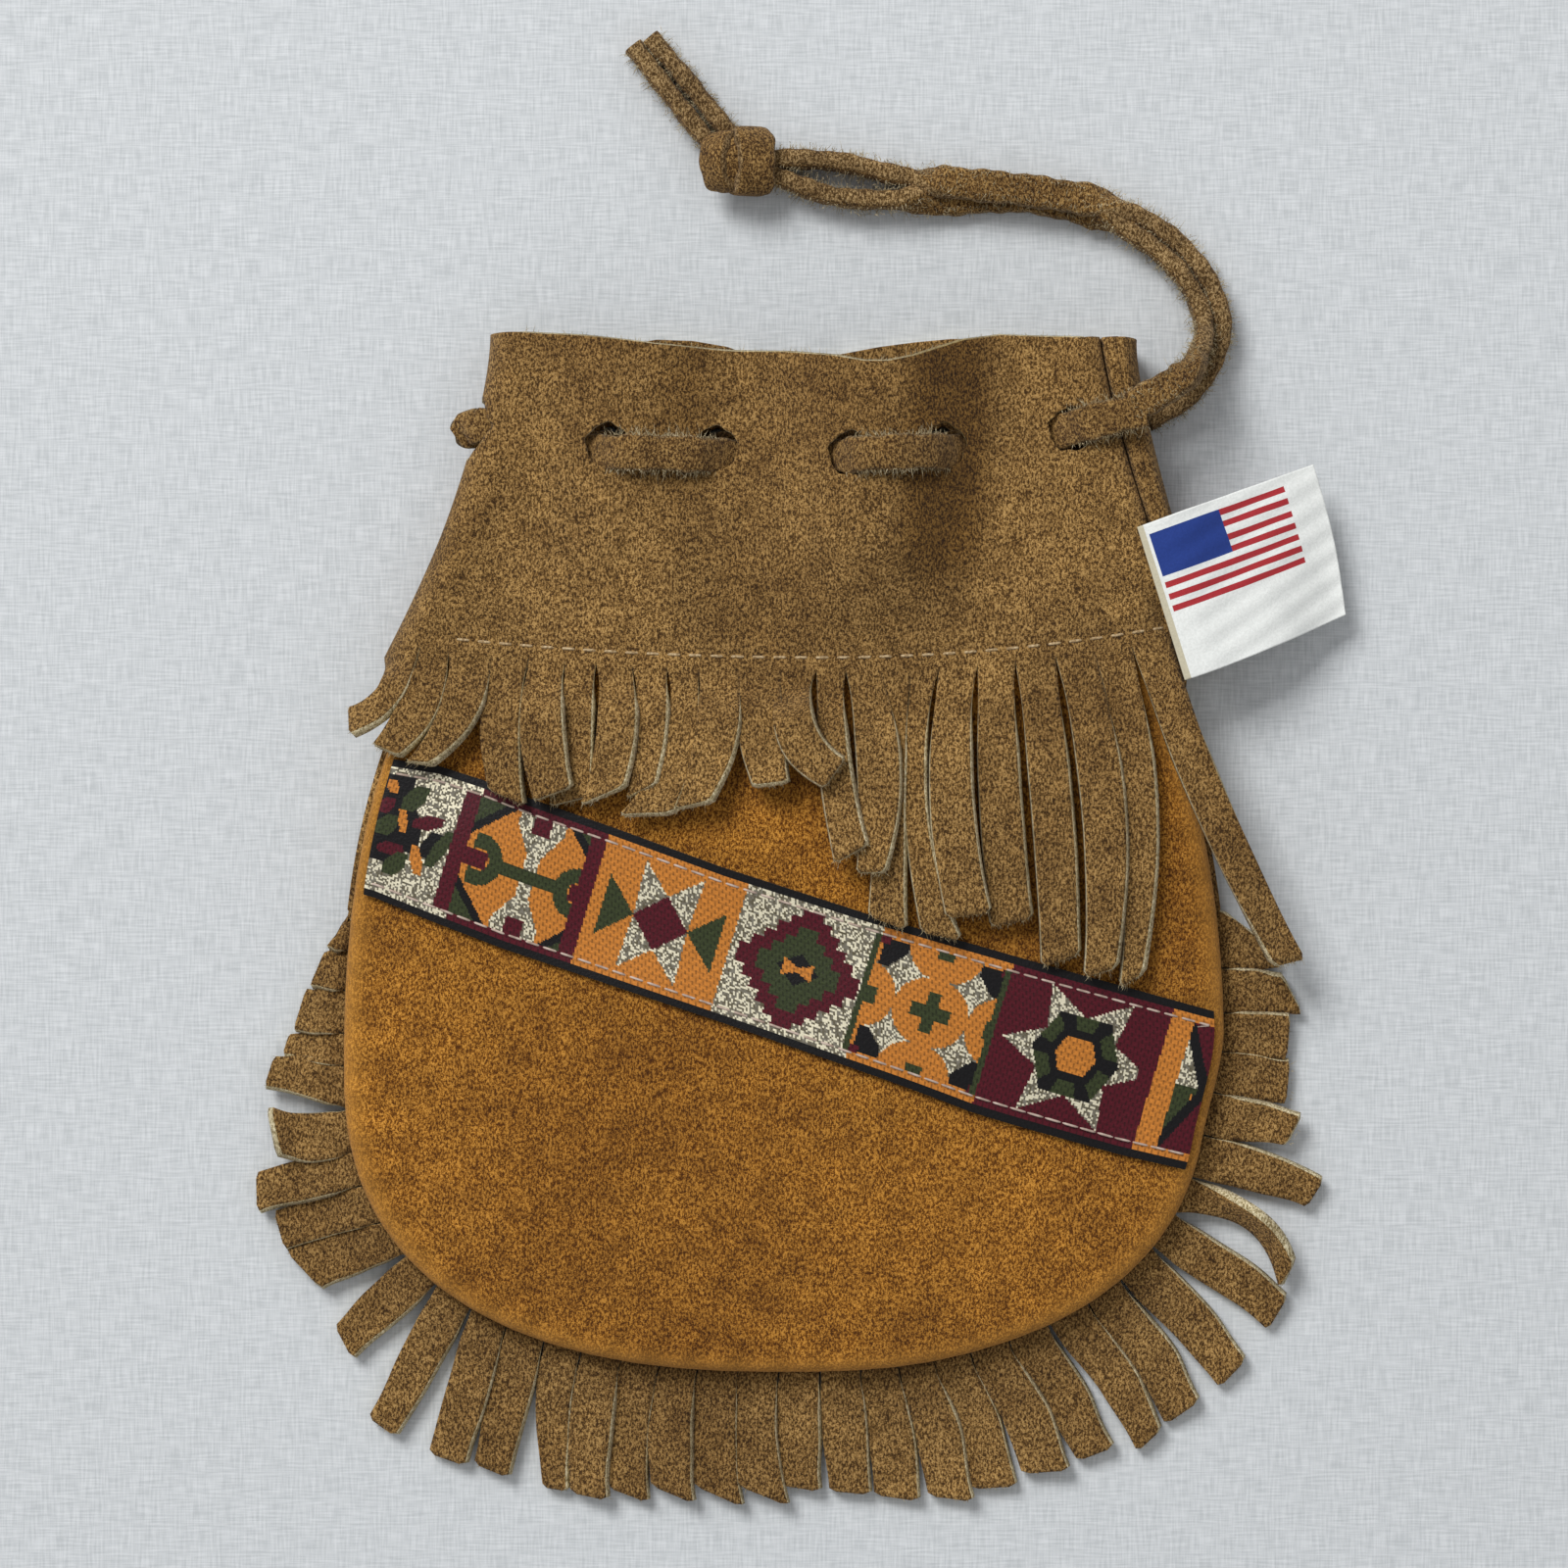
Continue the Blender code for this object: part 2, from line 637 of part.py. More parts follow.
def lace_route():
    """Middle line of the threaded lace: over the right side, along the front to the
    fold, round the fold outside, and along the back to the right side."""
    step = 2 * HOLE_PASS / 5
    places = [wrap_x(LACE_LEVEL) + CLEARANCE]
    stops = []
    for hole in HOLE_PLACES[::-1]:
        stops += list(hole + step * np.array([2.5, 1.5, 0.5, -0.5, -1.5, -2.5]))
    inner = fold_x(LACE_LEVEL) + FOLD_RADIUS + SUEDE
    run = places + [seam_x(LACE_LEVEL)] + stops + [inner]
    full = [run[0]]
    for x in run[1:]:
        pieces = max(1, math.ceil(abs(full[-1] - x) / 0.006))
        full += list(np.linspace(full[-1], x, pieces + 1)[1:])
    front = [(x, LACE_LEVEL, lace_side(x, True)) for x in full]
    back = [(x, LACE_LEVEL, lace_side(x, False)) for x in full[::-1]]
    branch = (LACE_THICK + CLEARANCE) / 2
    middle = fold_middle()
    edge = fold_x(LACE_LEVEL) - HALF
    bulge = branch + 0.3 * LACE_THICK
    centre = edge - FOLD_LOOP + LACE_THICK / 2 + bulge
    turn = [(edge + 1.8 * SUEDE, LACE_LEVEL, middle + branch)]
    for degrees in (90, 120, 150, 180, 210, 240, 270):
        angle = math.radians(degrees)
        x = centre + bulge * math.cos(angle)
        turn.append((x, LACE_LEVEL, middle + bulge * math.sin(angle)))
    turn.append((edge + 1.8 * SUEDE, LACE_LEVEL, middle - branch))
    return np.array(front + turn + back)


def flat_sweep(name, path, width, thick, finish):
    """A flat lace carried along a path, its width kept level with the surface."""
    tangent = np.gradient(path, axis=0)
    tangent /= np.linalg.norm(tangent, axis=1)[:, None]
    wide = np.array([0.0, 1.0, 0.0]) - tangent * tangent[:, 1:2]
    wide /= np.linalg.norm(wide, axis=1)[:, None]
    up = np.cross(tangent, wide)
    corners = ((1, 1), (-1, 1), (-1, -1), (1, -1))
    rings = [path + wide * a * width / 2 + up * b * thick / 2 for a, b in corners]
    points = np.stack(rings, 1).reshape(-1, 3)
    ids = np.arange(len(points)).reshape(len(path), 4)
    closed = np.concatenate([ids, ids[:, :1]], axis=1)
    faces = grid_faces(closed) + [tuple(map(int, ids[0])), tuple(map(int, ids[-1][::-1]))]
    made = mesh_object(name, points, faces, finish)
    work = bmesh.new()
    work.from_mesh(made.data)
    bmesh.ops.recalc_face_normals(work, faces=work.faces)
    work.to_mesh(made.data)
    work.free()
    return made


def smooth_line(points, count):
    """Evenly spaced places on a smooth curve through the points."""
    points = np.array(points, float)
    padded = np.vstack([2 * points[0] - points[1], points, 2 * points[-1] - points[-2]])
    dense = []
    for i in range(1, len(padded) - 2):
        a, b, c, d = padded[i - 1 : i + 3]
        for t in np.linspace(0, 1, 24, endpoint=False):
            dense.append(
                0.5 * (2 * b + (c - a) * t + (2 * a - 5 * b + 4 * c - d) * t**2
                       + (3 * b - a - 3 * c + d) * t**3)
            )
    dense.append(points[-1])
    dense = np.array(dense)
    length = np.concatenate([[0], np.cumsum(np.linalg.norm(np.diff(dense, axis=0), axis=1))])
    at = np.linspace(0, length[-1], count)
    return np.stack([np.interp(at, length, dense[:, k]) for k in range(3)], 1)


def lace_tube(name, path, finish):
    """A free stretch of lace as a plain round tube on a curve."""
    curve = bpy.data.curves.new(name, "CURVE")
    curve.dimensions = "3D"
    curve.bevel_depth = STRAND_DIAMETER / 2
    curve.bevel_resolution = 2
    curve.use_fill_caps = True
    spline = curve.splines.new("POLY")
    spline.points.add(len(path) - 1)
    for point, place in zip(spline.points, path):
        point.co = (*map(float, place), 1.0)
    curve.materials.append(finish)
    made = bpy.data.objects.new(name, curve)
    bpy.context.collection.objects.link(made)
    return made


def pair_strand(side):
    """One strand of the free pair: side 1 leaves the front, side -1 the back."""
    plan = np.array(PAIR_ROUTE)
    start = np.array([wrap_x(LACE_LEVEL) + 2 * CLEARANCE + STRAND_DIAMETER / 2, LACE_LEVEL])
    step = np.gradient(plan, axis=0)
    step /= np.linalg.norm(step, axis=1)[:, None]
    square = np.stack([-step[:, 1], step[:, 0]], 1)
    apart = np.full(len(plan), STRAND_SPACING / 2)
    apart[-3:-1] = STRAND_SPACING * 0.95
    plan = plan + square * (side * apart)[:, None]
    floor = STRAND_DIAMETER / 2 + CLEARANCE
    high = lace_side(wrap_x(LACE_LEVEL), True) if side > 0 else floor
    along = np.linspace(0, 1, len(plan))
    level = floor + (high - floor) * (1 - smooth((along + 0.04) / 0.36))
    points = np.column_stack([plan, level])
    start = np.array([[start[0], start[1] + 0.0006 * side, high if side > 0 else floor]])
    return np.vstack([start, points[1:]])


def strands(finish):
    """The two free strands from the right side to the knot, and the two tails."""
    for name, side in (("lace_strand_front", 1), ("lace_strand_back", -1)):
        lace_tube(name, smooth_line(pair_strand(side), 34), finish)
    floor = STRAND_DIAMETER / 2 + CLEARANCE
    knot = np.array(KNOT_CENTRE)
    for number, tip in enumerate(TAIL_TIPS):
        way = np.array(tip) - knot
        way /= np.linalg.norm(way)
        square = np.array([-way[1], way[0]])
        side = 1 if number == 0 else -1
        reach = 1 / math.hypot(way[0] / (KNOT_LENGTH / 2), way[1] / (KNOT_WIDTH / 2))
        root = knot + way * (reach + 2 * CLEARANCE) + square * side * STRAND_SPACING / 2
        middle = (root + np.array(tip)) / 2 + square * side * 0.0008
        plan = [root, middle, np.array(tip)]
        path = [(*p, floor + h) for p, h in zip(plan, (0.0008, 0.0005, 0.0))]
        lace_tube(f"lace_tail_{number + 1}", smooth_line(path, 9), finish)


def lace_knot(finish):
    """The knot as one lump with three shallow turns round it."""
    turns, around = 9, 14
    points = []
    for i in range(turns + 1):
        polar = math.pi * i / turns
        for j in range(around):
            angle = 2 * math.pi * j / around
            swell = 1 + 0.07 * math.cos(3 * polar * 2 + angle)
            points.append((
                KNOT_CENTRE[0] + KNOT_LENGTH / 2 * swell * math.cos(polar),
                KNOT_CENTRE[1] + KNOT_WIDTH / 2 * swell * math.sin(polar) * math.cos(angle),
                KNOT_HEIGHT / 2 * (1.1 + swell * math.sin(polar) * math.sin(angle)),
            ))
    ids = np.arange(len(points)).reshape(turns + 1, around)
    closed = np.concatenate([ids, ids[:, :1]], axis=1)
    made = mesh_object("lace_knot", points, grid_faces(closed), finish)
    work = bmesh.new()
    work.from_mesh(made.data)
    bmesh.ops.recalc_face_normals(work, faces=work.faces)
    work.to_mesh(made.data)
    work.free()
    return made


def woven_ribbon(finish):
    """Ribbon laid across the front panel, its ends running into the side seams."""
    slope = (RIBBON_RIGHT_LEVEL - RIBBON_LEFT_LEVEL) / (2 * BODY_HALF_WIDTH)
    tilt = math.atan(slope)
    half = RIBBON_WIDTH / 2 / math.cos(tilt)
    middle = (RIBBON_LEFT_LEVEL + RIBBON_RIGHT_LEVEL) / 2
    edge = 1 - 0.5 * EDGE_ROLL / INSET_REFERENCE
    points, along, across = [], 34, 4
    for j in range(across + 1):
        shift = half * (2 * j / across - 1)
        for i in range(along + 1):
            share = math.sin(math.pi / 2 * (2 * i / along - 1) * 0.8) / math.sin(math.pi / 2 * 0.8)
            x = share * BODY_HALF_WIDTH
            for _ in range(6):
                y = middle + shift + slope * x
                reach = (edge**BODY_ROUNDNESS - ring(0.0, y) ** BODY_ROUNDNESS)
                x = share * float(half_width(y)) * reach ** (1 / BODY_ROUNDNESS)
            y = middle + shift + slope * x
            z = front_level(x, y) + HALF + CLEARANCE + RIBBON_THICK / 2
            points.append((x, y, float(z) + 0.0002 * abs(share) ** 8))
    ids = np.arange(len(points)).reshape(across + 1, along + 1)
    return sheet_object("woven_ribbon", points, grid_faces(ids), RIBBON_THICK, finish)


def seam_label(finish):
    """Folded label: its tail stands in the seam, its face lies out to the right."""
    way = (math.cos(LABEL_TILT), math.sin(LABEL_TILT))
    down = (math.sin(LABEL_TILT), -math.cos(LABEL_TILT))
    corner = (float(seam_x(LABEL_TOP)), LABEL_TOP)
    outs = (0.0, 0.0, 0.0010, 0.0030, 0.0070, 0.0120, 0.0185, LABEL_WIDTH)
    drops = np.linspace(0.0, LABEL_HEIGHT, 7)
    points, faces = [], []
    for drop in drops:
        y0 = corner[1] + down[1] * drop
        x0 = float(seam_x(y0))
        top = float(yoke_level(seam_x(y0) - 0.003, max(y0, YOKE_STITCH)))
        level = top + HALF + CLEARANCE + LABEL_THICK
        levels = [top - LABEL_TAIL, top, level, level + 0.0003, level - 0.0004]
        levels += [level - 0.0016, level - 0.0044, level - 0.0080]
        for out, z in zip(outs, levels):
            points.append((x0 + way[0] * out, y0 + way[1] * out, z))
    ids = np.arange(len(points)).reshape(len(drops), len(outs))
    root = float(stitch_level(seam_x(YOKE_STITCH)))
    sewn = sum(corner[1] + down[1] * drop > root for drop in drops)
    faces = grid_faces(ids[:, 2:]) + grid_faces(ids[:sewn, :3])
    used = sorted({i for face in faces for i in face})
    renumber = {old: new for new, old in enumerate(used)}
    faces = [tuple(renumber[i] for i in face) for face in faces]
    return sheet_object("seam_label", [points[i] for i in used], faces, LABEL_THICK, finish)


def main():
    for old in list(bpy.data.objects):
        bpy.data.objects.remove(old, do_unlink=True)
    taupe = material("taupe_suede", (0.26, 0.14, 0.055), 0.95)
    golden = material("golden_suede", (0.43, 0.18, 0.027), 0.95)
    lace = material("lace_suede", (0.30, 0.18, 0.070), 0.95)
    ribbon = material("jacquard_ribbon", (0.10, 0.04, 0.03), 0.60)
    label = material("label_cloth", (0.80, 0.80, 0.78), 0.70)
    outline = Outline()
    back_panel(outline, golden)
    edge_fringe(outline, taupe)
    front_panel(outline, golden)
    yoke_band(taupe)
    woven_ribbon(ribbon)
    seam_label(label)
    flat_sweep("lace_threaded", lace_route(), LACE_WIDTH, LACE_THICK, lace)
    strands(lace)
    lace_knot(lace)


main()
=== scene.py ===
# %% [markdown]
# # A fringed suede pouch, lying on its back
#
# The pouch is sewn from sheets of suede: a crowned front panel, a flat back
# panel, a slit strip in the seam between them, and a wide slit band that forms
# the neck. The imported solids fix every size. Here each sheet gets its real
# surface, with the same formulas as the solids, so that a piece goes where its
# solid is without any fitting.

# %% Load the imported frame
import math

import bpy
import numpy as np
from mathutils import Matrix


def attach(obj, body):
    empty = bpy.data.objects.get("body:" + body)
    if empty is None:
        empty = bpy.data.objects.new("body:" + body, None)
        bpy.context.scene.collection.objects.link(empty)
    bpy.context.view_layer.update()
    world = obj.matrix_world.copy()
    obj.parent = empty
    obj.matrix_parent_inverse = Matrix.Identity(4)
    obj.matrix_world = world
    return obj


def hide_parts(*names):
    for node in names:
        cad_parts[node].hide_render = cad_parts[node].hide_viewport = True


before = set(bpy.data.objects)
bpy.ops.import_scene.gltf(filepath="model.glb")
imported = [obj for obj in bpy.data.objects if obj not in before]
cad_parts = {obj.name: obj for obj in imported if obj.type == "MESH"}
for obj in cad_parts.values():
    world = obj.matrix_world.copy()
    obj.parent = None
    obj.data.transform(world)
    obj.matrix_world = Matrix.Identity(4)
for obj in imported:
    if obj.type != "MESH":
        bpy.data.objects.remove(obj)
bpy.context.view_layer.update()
print("solids to dress:", ", ".join(sorted(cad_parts)))

# %% [markdown]
# ## The camera first
#
# The photograph looks straight down. A camera above the middle of the picture,
# with a long lens, sees 224 mm of the surface from side to side. A long lens
# was chosen because the photograph shows hardly any perspective.

# %% Put the camera over the pouch
MM = 0.001
PICTURE_WIDTH = 0.224
CAMERA_HEIGHT = 0.70
FOCUS_LEVEL = 0.006
SENSOR_WIDTH = 36.0

eye = bpy.data.cameras.new("overhead_camera")
eye.sensor_width = SENSOR_WIDTH
eye.lens = SENSOR_WIDTH * (CAMERA_HEIGHT - FOCUS_LEVEL) / PICTURE_WIDTH
camera = bpy.data.objects.new("overhead_camera", eye)
camera.location = (0.0, 0.0406, CAMERA_HEIGHT)
bpy.context.collection.objects.link(camera)
bpy.context.scene.camera = camera
print("lens in mm:", round(eye.lens, 1))

# %% [markdown]
# ## Light
#
# The pouch was photographed on pale cloth in soft daylight from the upper left.
# A lit world gives the even part. One broad lamp gives the direction and the
# soft shadows between the strips. Together they light a level surface at 1, so
# each colour renders about as it is written.

# %% Light the scene
world = bpy.data.worlds.new("daylight_room")
world.use_nodes = True
bpy.context.scene.world = world
sky = world.node_tree.nodes["Background"]
SKY_SHARE = 0.44
LAMP_SHARE = 0.56
LIT_MIDDLE = np.array([0.0, 0.04, 0.0])
sky.inputs["Color"].default_value = (0.97, 0.98, 1.0, 1.0)
sky.inputs["Strength"].default_value = SKY_SHARE


def soft_lamp(name, place, width, share):
    """A square lamp aimed at the pouch. share is the light that it gives a level
    surface under it, where 1 renders a white surface as white."""
    light = bpy.data.lights.new(name, "AREA")
    light.size = width
    distance = math.dist(place, LIT_MIDDLE)
    steepness = place[2] / distance
    light.energy = math.pi**2 * distance**2 * share / steepness
    lamp = bpy.data.objects.new(name, light)
    lamp.location = place
    aim = LIT_MIDDLE - np.array(place)
    lamp.rotation_euler = (
        math.atan2(math.hypot(aim[0], aim[1]), -aim[2]), 0, math.atan2(aim[0], -aim[1]) + math.pi
    )
    bpy.context.collection.objects.link(lamp)


soft_lamp("window", (-0.92, 1.28, 1.62), 0.90, LAMP_SHARE)
bpy.context.scene.view_settings.view_transform = "Standard"
print("light on a level surface:", SKY_SHARE + LAMP_SHARE)

# %% [markdown]
# ## The shape of the body, as formulas
#
# Everything on this pouch lies on something else, so heights are worked out
# from one another. The body has an outline, a ring number that is 0 on its
# middle line and 1 on the outline, and a crown over it. The band lies one
# layer of leather above. These are whole-array functions, so one call gives
# the height of every point of a piece.

# %% Sizes of the leather and the body
SUEDE = 0.0014
CLEARANCE = 0.0003
LAYER = SUEDE + CLEARANCE
HALF = SUEDE / 2
BODY_HALF_WIDTH = 0.0622
BODY_ROUND_DEPTH = 0.0427
BODY_ROUNDNESS = 2.45
BODY_TOP = 0.064
BODY_TOP_HALF_WIDTH = 0.0475
BODY_TAPER_POWER = 2.4
EDGE_ROLL = 0.0016
SEAM_ALLOWANCE = 0.005
BODY_CROWN = 0.0035
TOP_CROWN = 0.0010
INSET_REFERENCE = 0.050
SAG = 0.00028


def smooth(t):
    """0 below 0, 1 above 1, and a smooth step between."""
    t = np.clip(t, 0.0, 1.0)
    return t * t * (3 - 2 * t)


def half_width(y):
    """Half the body's width: constant below its widest level, tapering above."""
    share = np.clip(y / BODY_TOP, 0.0, 1.1) ** BODY_TAPER_POWER
    return BODY_HALF_WIDTH - (BODY_HALF_WIDTH - BODY_TOP_HALF_WIDTH) * share


def ring(x, y):
    """0 on the middle line of the body, 1 on its outline."""
    across = (np.abs(x) / half_width(y)) ** BODY_ROUNDNESS
    down = (np.clip(-y, 0.0, None) / BODY_ROUND_DEPTH) ** BODY_ROUNDNESS
    return (across + down) ** (1 / BODY_ROUNDNESS)


# %% Sizes of the band, and where the layers under the body lift it
YOKE_TOP = 0.1046
YOKE_STITCH = 0.0585
YOKE_STITCH_CENTRE = 0.005
YOKE_STITCH_BOW_LEFT = 1.0
YOKE_STITCH_BOW_RIGHT = 1.8
STITCH_TO_SLIT = 0.0017
YOKE_ROOT = YOKE_STITCH - STITCH_TO_SLIT
BACK_DROP = 0.019
LIFT_RAMP = 0.022
LIFT_FULL = YOKE_ROOT - BACK_DROP - 2 * CLEARANCE


def lift(y):
    """How far the body is raised by the band's back fringe under it."""
    return LAYER * smooth((y - LIFT_FULL + LIFT_RAMP) / LIFT_RAMP)


def flap_level(y):
    """Middle of the front panel's seam allowance, which lies on the slit strip."""
    return lift(y) + 2 * LAYER + HALF


def hand_feel(x, y):
    """Slow hollows and swells of soft leather: three long waves in plan, added."""
    return SAG * (
        np.sin(95 * x + 40 * y + 0.7)
        + 0.8 * np.sin(-60 * x + 120 * y + 2.1)
        + 0.5 * np.sin(190 * x - 90 * y)
    )


def front_level(x, y):
    """Middle surface of the front panel: a quarter-circle roll at the edge, then a
    crown that falls with the square of the ring number, then the hollows."""
    q = ring(x, y)
    inset = np.clip((1 - q) * INSET_REFERENCE, 0.0, EDGE_ROLL)
    roll = EDGE_ROLL + np.sqrt(np.clip(EDGE_ROLL**2 - (EDGE_ROLL - inset) ** 2, 0.0, None))
    q_roll = 1 - EDGE_ROLL / INSET_REFERENCE
    crown = BODY_CROWN + (TOP_CROWN - BODY_CROWN) * smooth((y - 0.010) / (BODY_TOP - 0.016))
    soft = hand_feel(x, y) * smooth((1 - q) / 0.25)
    return flap_level(y) + roll + crown * np.clip(1 - (q / q_roll) ** 2, 0.0, None) + soft


def cover_level(x, y):
    """A smooth level over the front panel that comes down outside its outline."""
    q = ring(x, y)
    full = front_level(x * np.minimum(1.0, 0.96 / np.maximum(q, 1e-6)), y)
    outside = (q - 1) * INSET_REFERENCE
    low = LAYER + SUEDE + CLEARANCE
    return full + (low - full) * smooth((outside - 0.003) / 0.010)


print("crown above the surface in mm:", round(float(front_level(0.0, 0.0)) / MM, 1))

# %% [markdown]
# ## From arrays to a mesh
#
# Each sheet is a grid of points. Its faces join neighbouring rows and columns,
# which is index arithmetic on one array of point numbers. Solidify then gives
# the sheet its thickness, and puts the second material on the rim, because a
# cut edge of suede is paler than its face.


# %% Helpers that make a mesh from arrays
def numbered(shape, first=0):
    """The point numbers of a grid of points, row by column."""
    return first + np.arange(math.prod(shape)).reshape(shape)


def grid_faces(ids):
    """Four-sided faces between the rows of an array of point numbers."""
    corners = (ids[:-1, :-1], ids[:-1, 1:], ids[1:, 1:], ids[1:, :-1])
    return np.stack([c.ravel() for c in corners], 1)


def tube_faces(rows, sides):
    """Faces of a tube: a grid whose last column joins its first again."""
    ids = numbered((rows, sides))
    return grid_faces(np.hstack([ids, ids[:, :1]]))


def distance_along(line):
    """How far along a line each of its points is."""
    return np.concatenate([[0.0], np.cumsum(np.linalg.norm(np.diff(line, axis=0), axis=1))])


def mesh_piece(name, points, faces, *finishes):
    """An object at the origin from arrays of points and of same-sided faces."""
    mesh = bpy.data.meshes.new(name)
    faces = np.asarray(faces, np.int32)
    sides = faces.shape[1]
    mesh.vertices.add(len(points))
    mesh.vertices.foreach_set("co", np.asarray(points, np.float32).ravel())
    mesh.loops.add(faces.size)
    mesh.loops.foreach_set("vertex_index", faces.ravel())
    mesh.polygons.add(len(faces))
    mesh.polygons.foreach_set("loop_start", np.arange(0, faces.size, sides, dtype=np.int32))
    mesh.update(calc_edges=True)
    mesh.validate()
    mesh.shade_smooth()
    piece = bpy.data.objects.new(name, mesh)
    bpy.context.collection.objects.link(piece)
    for finish in finishes:
        mesh.materials.append(finish)
    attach(piece, "root")
    return piece


def sheet_piece(name, x, y, z, *finishes):
    """A sheet from three grids, one for each coordinate of its points."""
    points = np.stack([x, y, z], 2).reshape(-1, 3)
    return mesh_piece(name, points, grid_faces(numbered(x.shape)), *finishes)


class Gathered:
    """The points and the faces of one mesh, put together grid by grid."""

    def __init__(self):
        self.parts, self.quads, self.total = [], [], 0

    def add(self, grid, row_above=None):
        """Adds a grid of points. With the numbers of a row that is there already, the
        grid hangs from that row. Gives the numbers of its own points."""
        ids = numbered(grid.shape[:2], self.total)
        self.parts.append(grid.reshape(-1, 3))
        self.quads.append(grid_faces(ids if row_above is None else np.vstack([ids[::-1], row_above])))
        self.total += ids.size
        return ids


def close_middle(piece):
    """Joins points that lie on one another, where a grid of rings ends on a line."""
    weld = piece.modifiers.new("close_middle", "WELD")
    weld.merge_threshold = 0.00002


def share_of(piece, name, shares):
    """Stores a share from 0 to 1 for each point, which a finish reads by its name: the rim share is a painted
    highlight that mixes in the pale tone, and the fold share is painted shade, a darker tint."""
    layer = piece.data.attributes.new(name, "FLOAT", "POINT")
    layer.data.foreach_set("value", np.asarray(shares, np.float32).ravel())


def thicken(piece, thickness, rim=1):
    """Gives a sheet its thickness to both sides. Leather has its second finish, the
    pale one, on the rim. Cloth has one finish, so its rim is 0."""
    wall = piece.modifiers.new("thickness", "SOLIDIFY")
    wall.thickness = thickness
    wall.offset = 0.0
    wall.material_offset_rim = rim


def freeze(piece):
    """Replaces the mesh by what its modifiers make of it."""
    seen = piece.evaluated_get(bpy.context.evaluated_depsgraph_get())
    made = bpy.data.meshes.new_from_object(seen)
    piece.modifiers.clear()
    piece.data = made


# %% [markdown]
# ## Suede
#
# Suede is the flesh side of a hide, brushed into a short nap. Close up it is a
# salt-and-pepper of lit and shaded fibre ends, and from further off it has
# patches where the nap lies another way. So the colour is four noises, from
# fibre ends to whole patches. The bump is the two finest of them, and a little
# sheen stands for the fibres that catch light at a slant.


# %% Procedural finishes
def srgb(red, green, blue):
    """A colour seen on a screen, 0 to 255, as the linear colour that a shader takes."""
    c = np.array([red, green, blue]) / 255.0
    return tuple(np.where(c <= 0.04045, c / 12.92, ((c + 0.055) / 1.055) ** 2.4)) + (1.0,)


class Finish:
    """A material, with short calls for the nodes that these finishes use."""

    def __init__(self, name, roughness, sheen=0.0):
        self.material = bpy.data.materials.new(name)
        self.material.use_nodes = True
        self.tree = self.material.node_tree
        self.shader = self.tree.nodes["Principled BSDF"]
        self.shader.inputs["Roughness"].default_value = roughness
        self.shader.inputs["Specular IOR Level"].default_value = 0.2
        self.shader.inputs["Sheen Weight"].default_value = sheen
        self.shader.inputs["Sheen Roughness"].default_value = 0.6

    def feed(self, socket, value):
        """Sets a socket to a value, or joins it to the output of another node."""
        if isinstance(value, bpy.types.NodeSocket):
            self.tree.links.new(value, socket)
        else:
            socket.default_value = value

    def node(self, kind, **inputs):
        """A node of this kind, with its inputs fed. _0 is the first input, and so on."""
        made = self.tree.nodes.new(kind)
        for name, value in inputs.items():
            self.feed(made.inputs[int(name[1:]) if name[0] == "_" else name], value)
        return made

    def place(self):
        """Where a point is on the object."""
        return self.node("ShaderNodeTexCoord").outputs["Object"]

    def noise(self, scale, detail=2.0, stretch=None):
        """Noise from 0 to 1, with so many swells in a metre."""
        vector = self.place()
        if stretch:
            vector = self.node("ShaderNodeMapping", Vector=vector, Scale=stretch).outputs[0]
        made = self.node("ShaderNodeTexNoise", Vector=vector, Scale=scale, Detail=detail)
        return made.outputs[0]

    def ramp(self, value, *stops):
        """A colour for each value, from (place, colour) stops."""
        made = self.node("ShaderNodeValToRGB", Fac=value)
        line = made.color_ramp.elements
        while len(line) < len(stops):
            line.new(0.5)
        for element, (where, colour) in zip(line, stops):
            element.position = where
            element.color = colour
        return made.outputs[0]

    def mix(self, share, one, other, way="MIX"):
        """One colour into another by a share."""
        made = self.node("ShaderNodeMix")
        made.data_type = "RGBA"
        made.blend_type = way
        for socket, value in ((0, share), (6, one), (7, other)):
            self.feed(made.inputs[socket], value)
        return made.outputs[2]

    def maths(self, operation, one, other):
        """Arithmetic on two values."""
        made = self.node("ShaderNodeMath", _0=one, _1=other)
        made.operation = operation
        return made.outputs[0]

    def blend(self, one, share, other):
        """A share of one value, and the rest of another."""
        rest = self.maths("MULTIPLY", other, 1 - share)
        return self.maths("ADD", self.maths("MULTIPLY", one, share), rest)

    def stored(self, name):
        """What is stored on the mesh under this name."""
        made = self.node("ShaderNodeAttribute")
        made.attribute_name = name
        return made

    def finish(self, colour, height=None, strength=0.5, depth=0.0002):
        """Joins the colour and a height for the bump to the shader."""
        self.tree.links.new(colour, self.shader.inputs["Base Color"])
        if height is not None:
            bump = self.node("ShaderNodeBump", Height=height, Strength=strength, Distance=depth)
            self.tree.links.new(bump.outputs[0], self.shader.inputs["Normal"])
        return self.material


GRAIN = 6500.0
CLUMPS = 3600.0
MOTTLE = 300.0
BRUSHING = 42.0
NAP_DEPTH = 0.00035
WHITE = (1.0, 1.0, 1.0, 1.0)
SHADE = (0.77, 0.74, 0.69, 1.0)
GLOW = (1.20, 1.20, 1.20, 1.0)
# Tint of the painted shade on the sides of the neck's folds that face away from the lamp.
FOLD_SHADE_TINT = (0.56, 0.49, 0.32, 1.0)


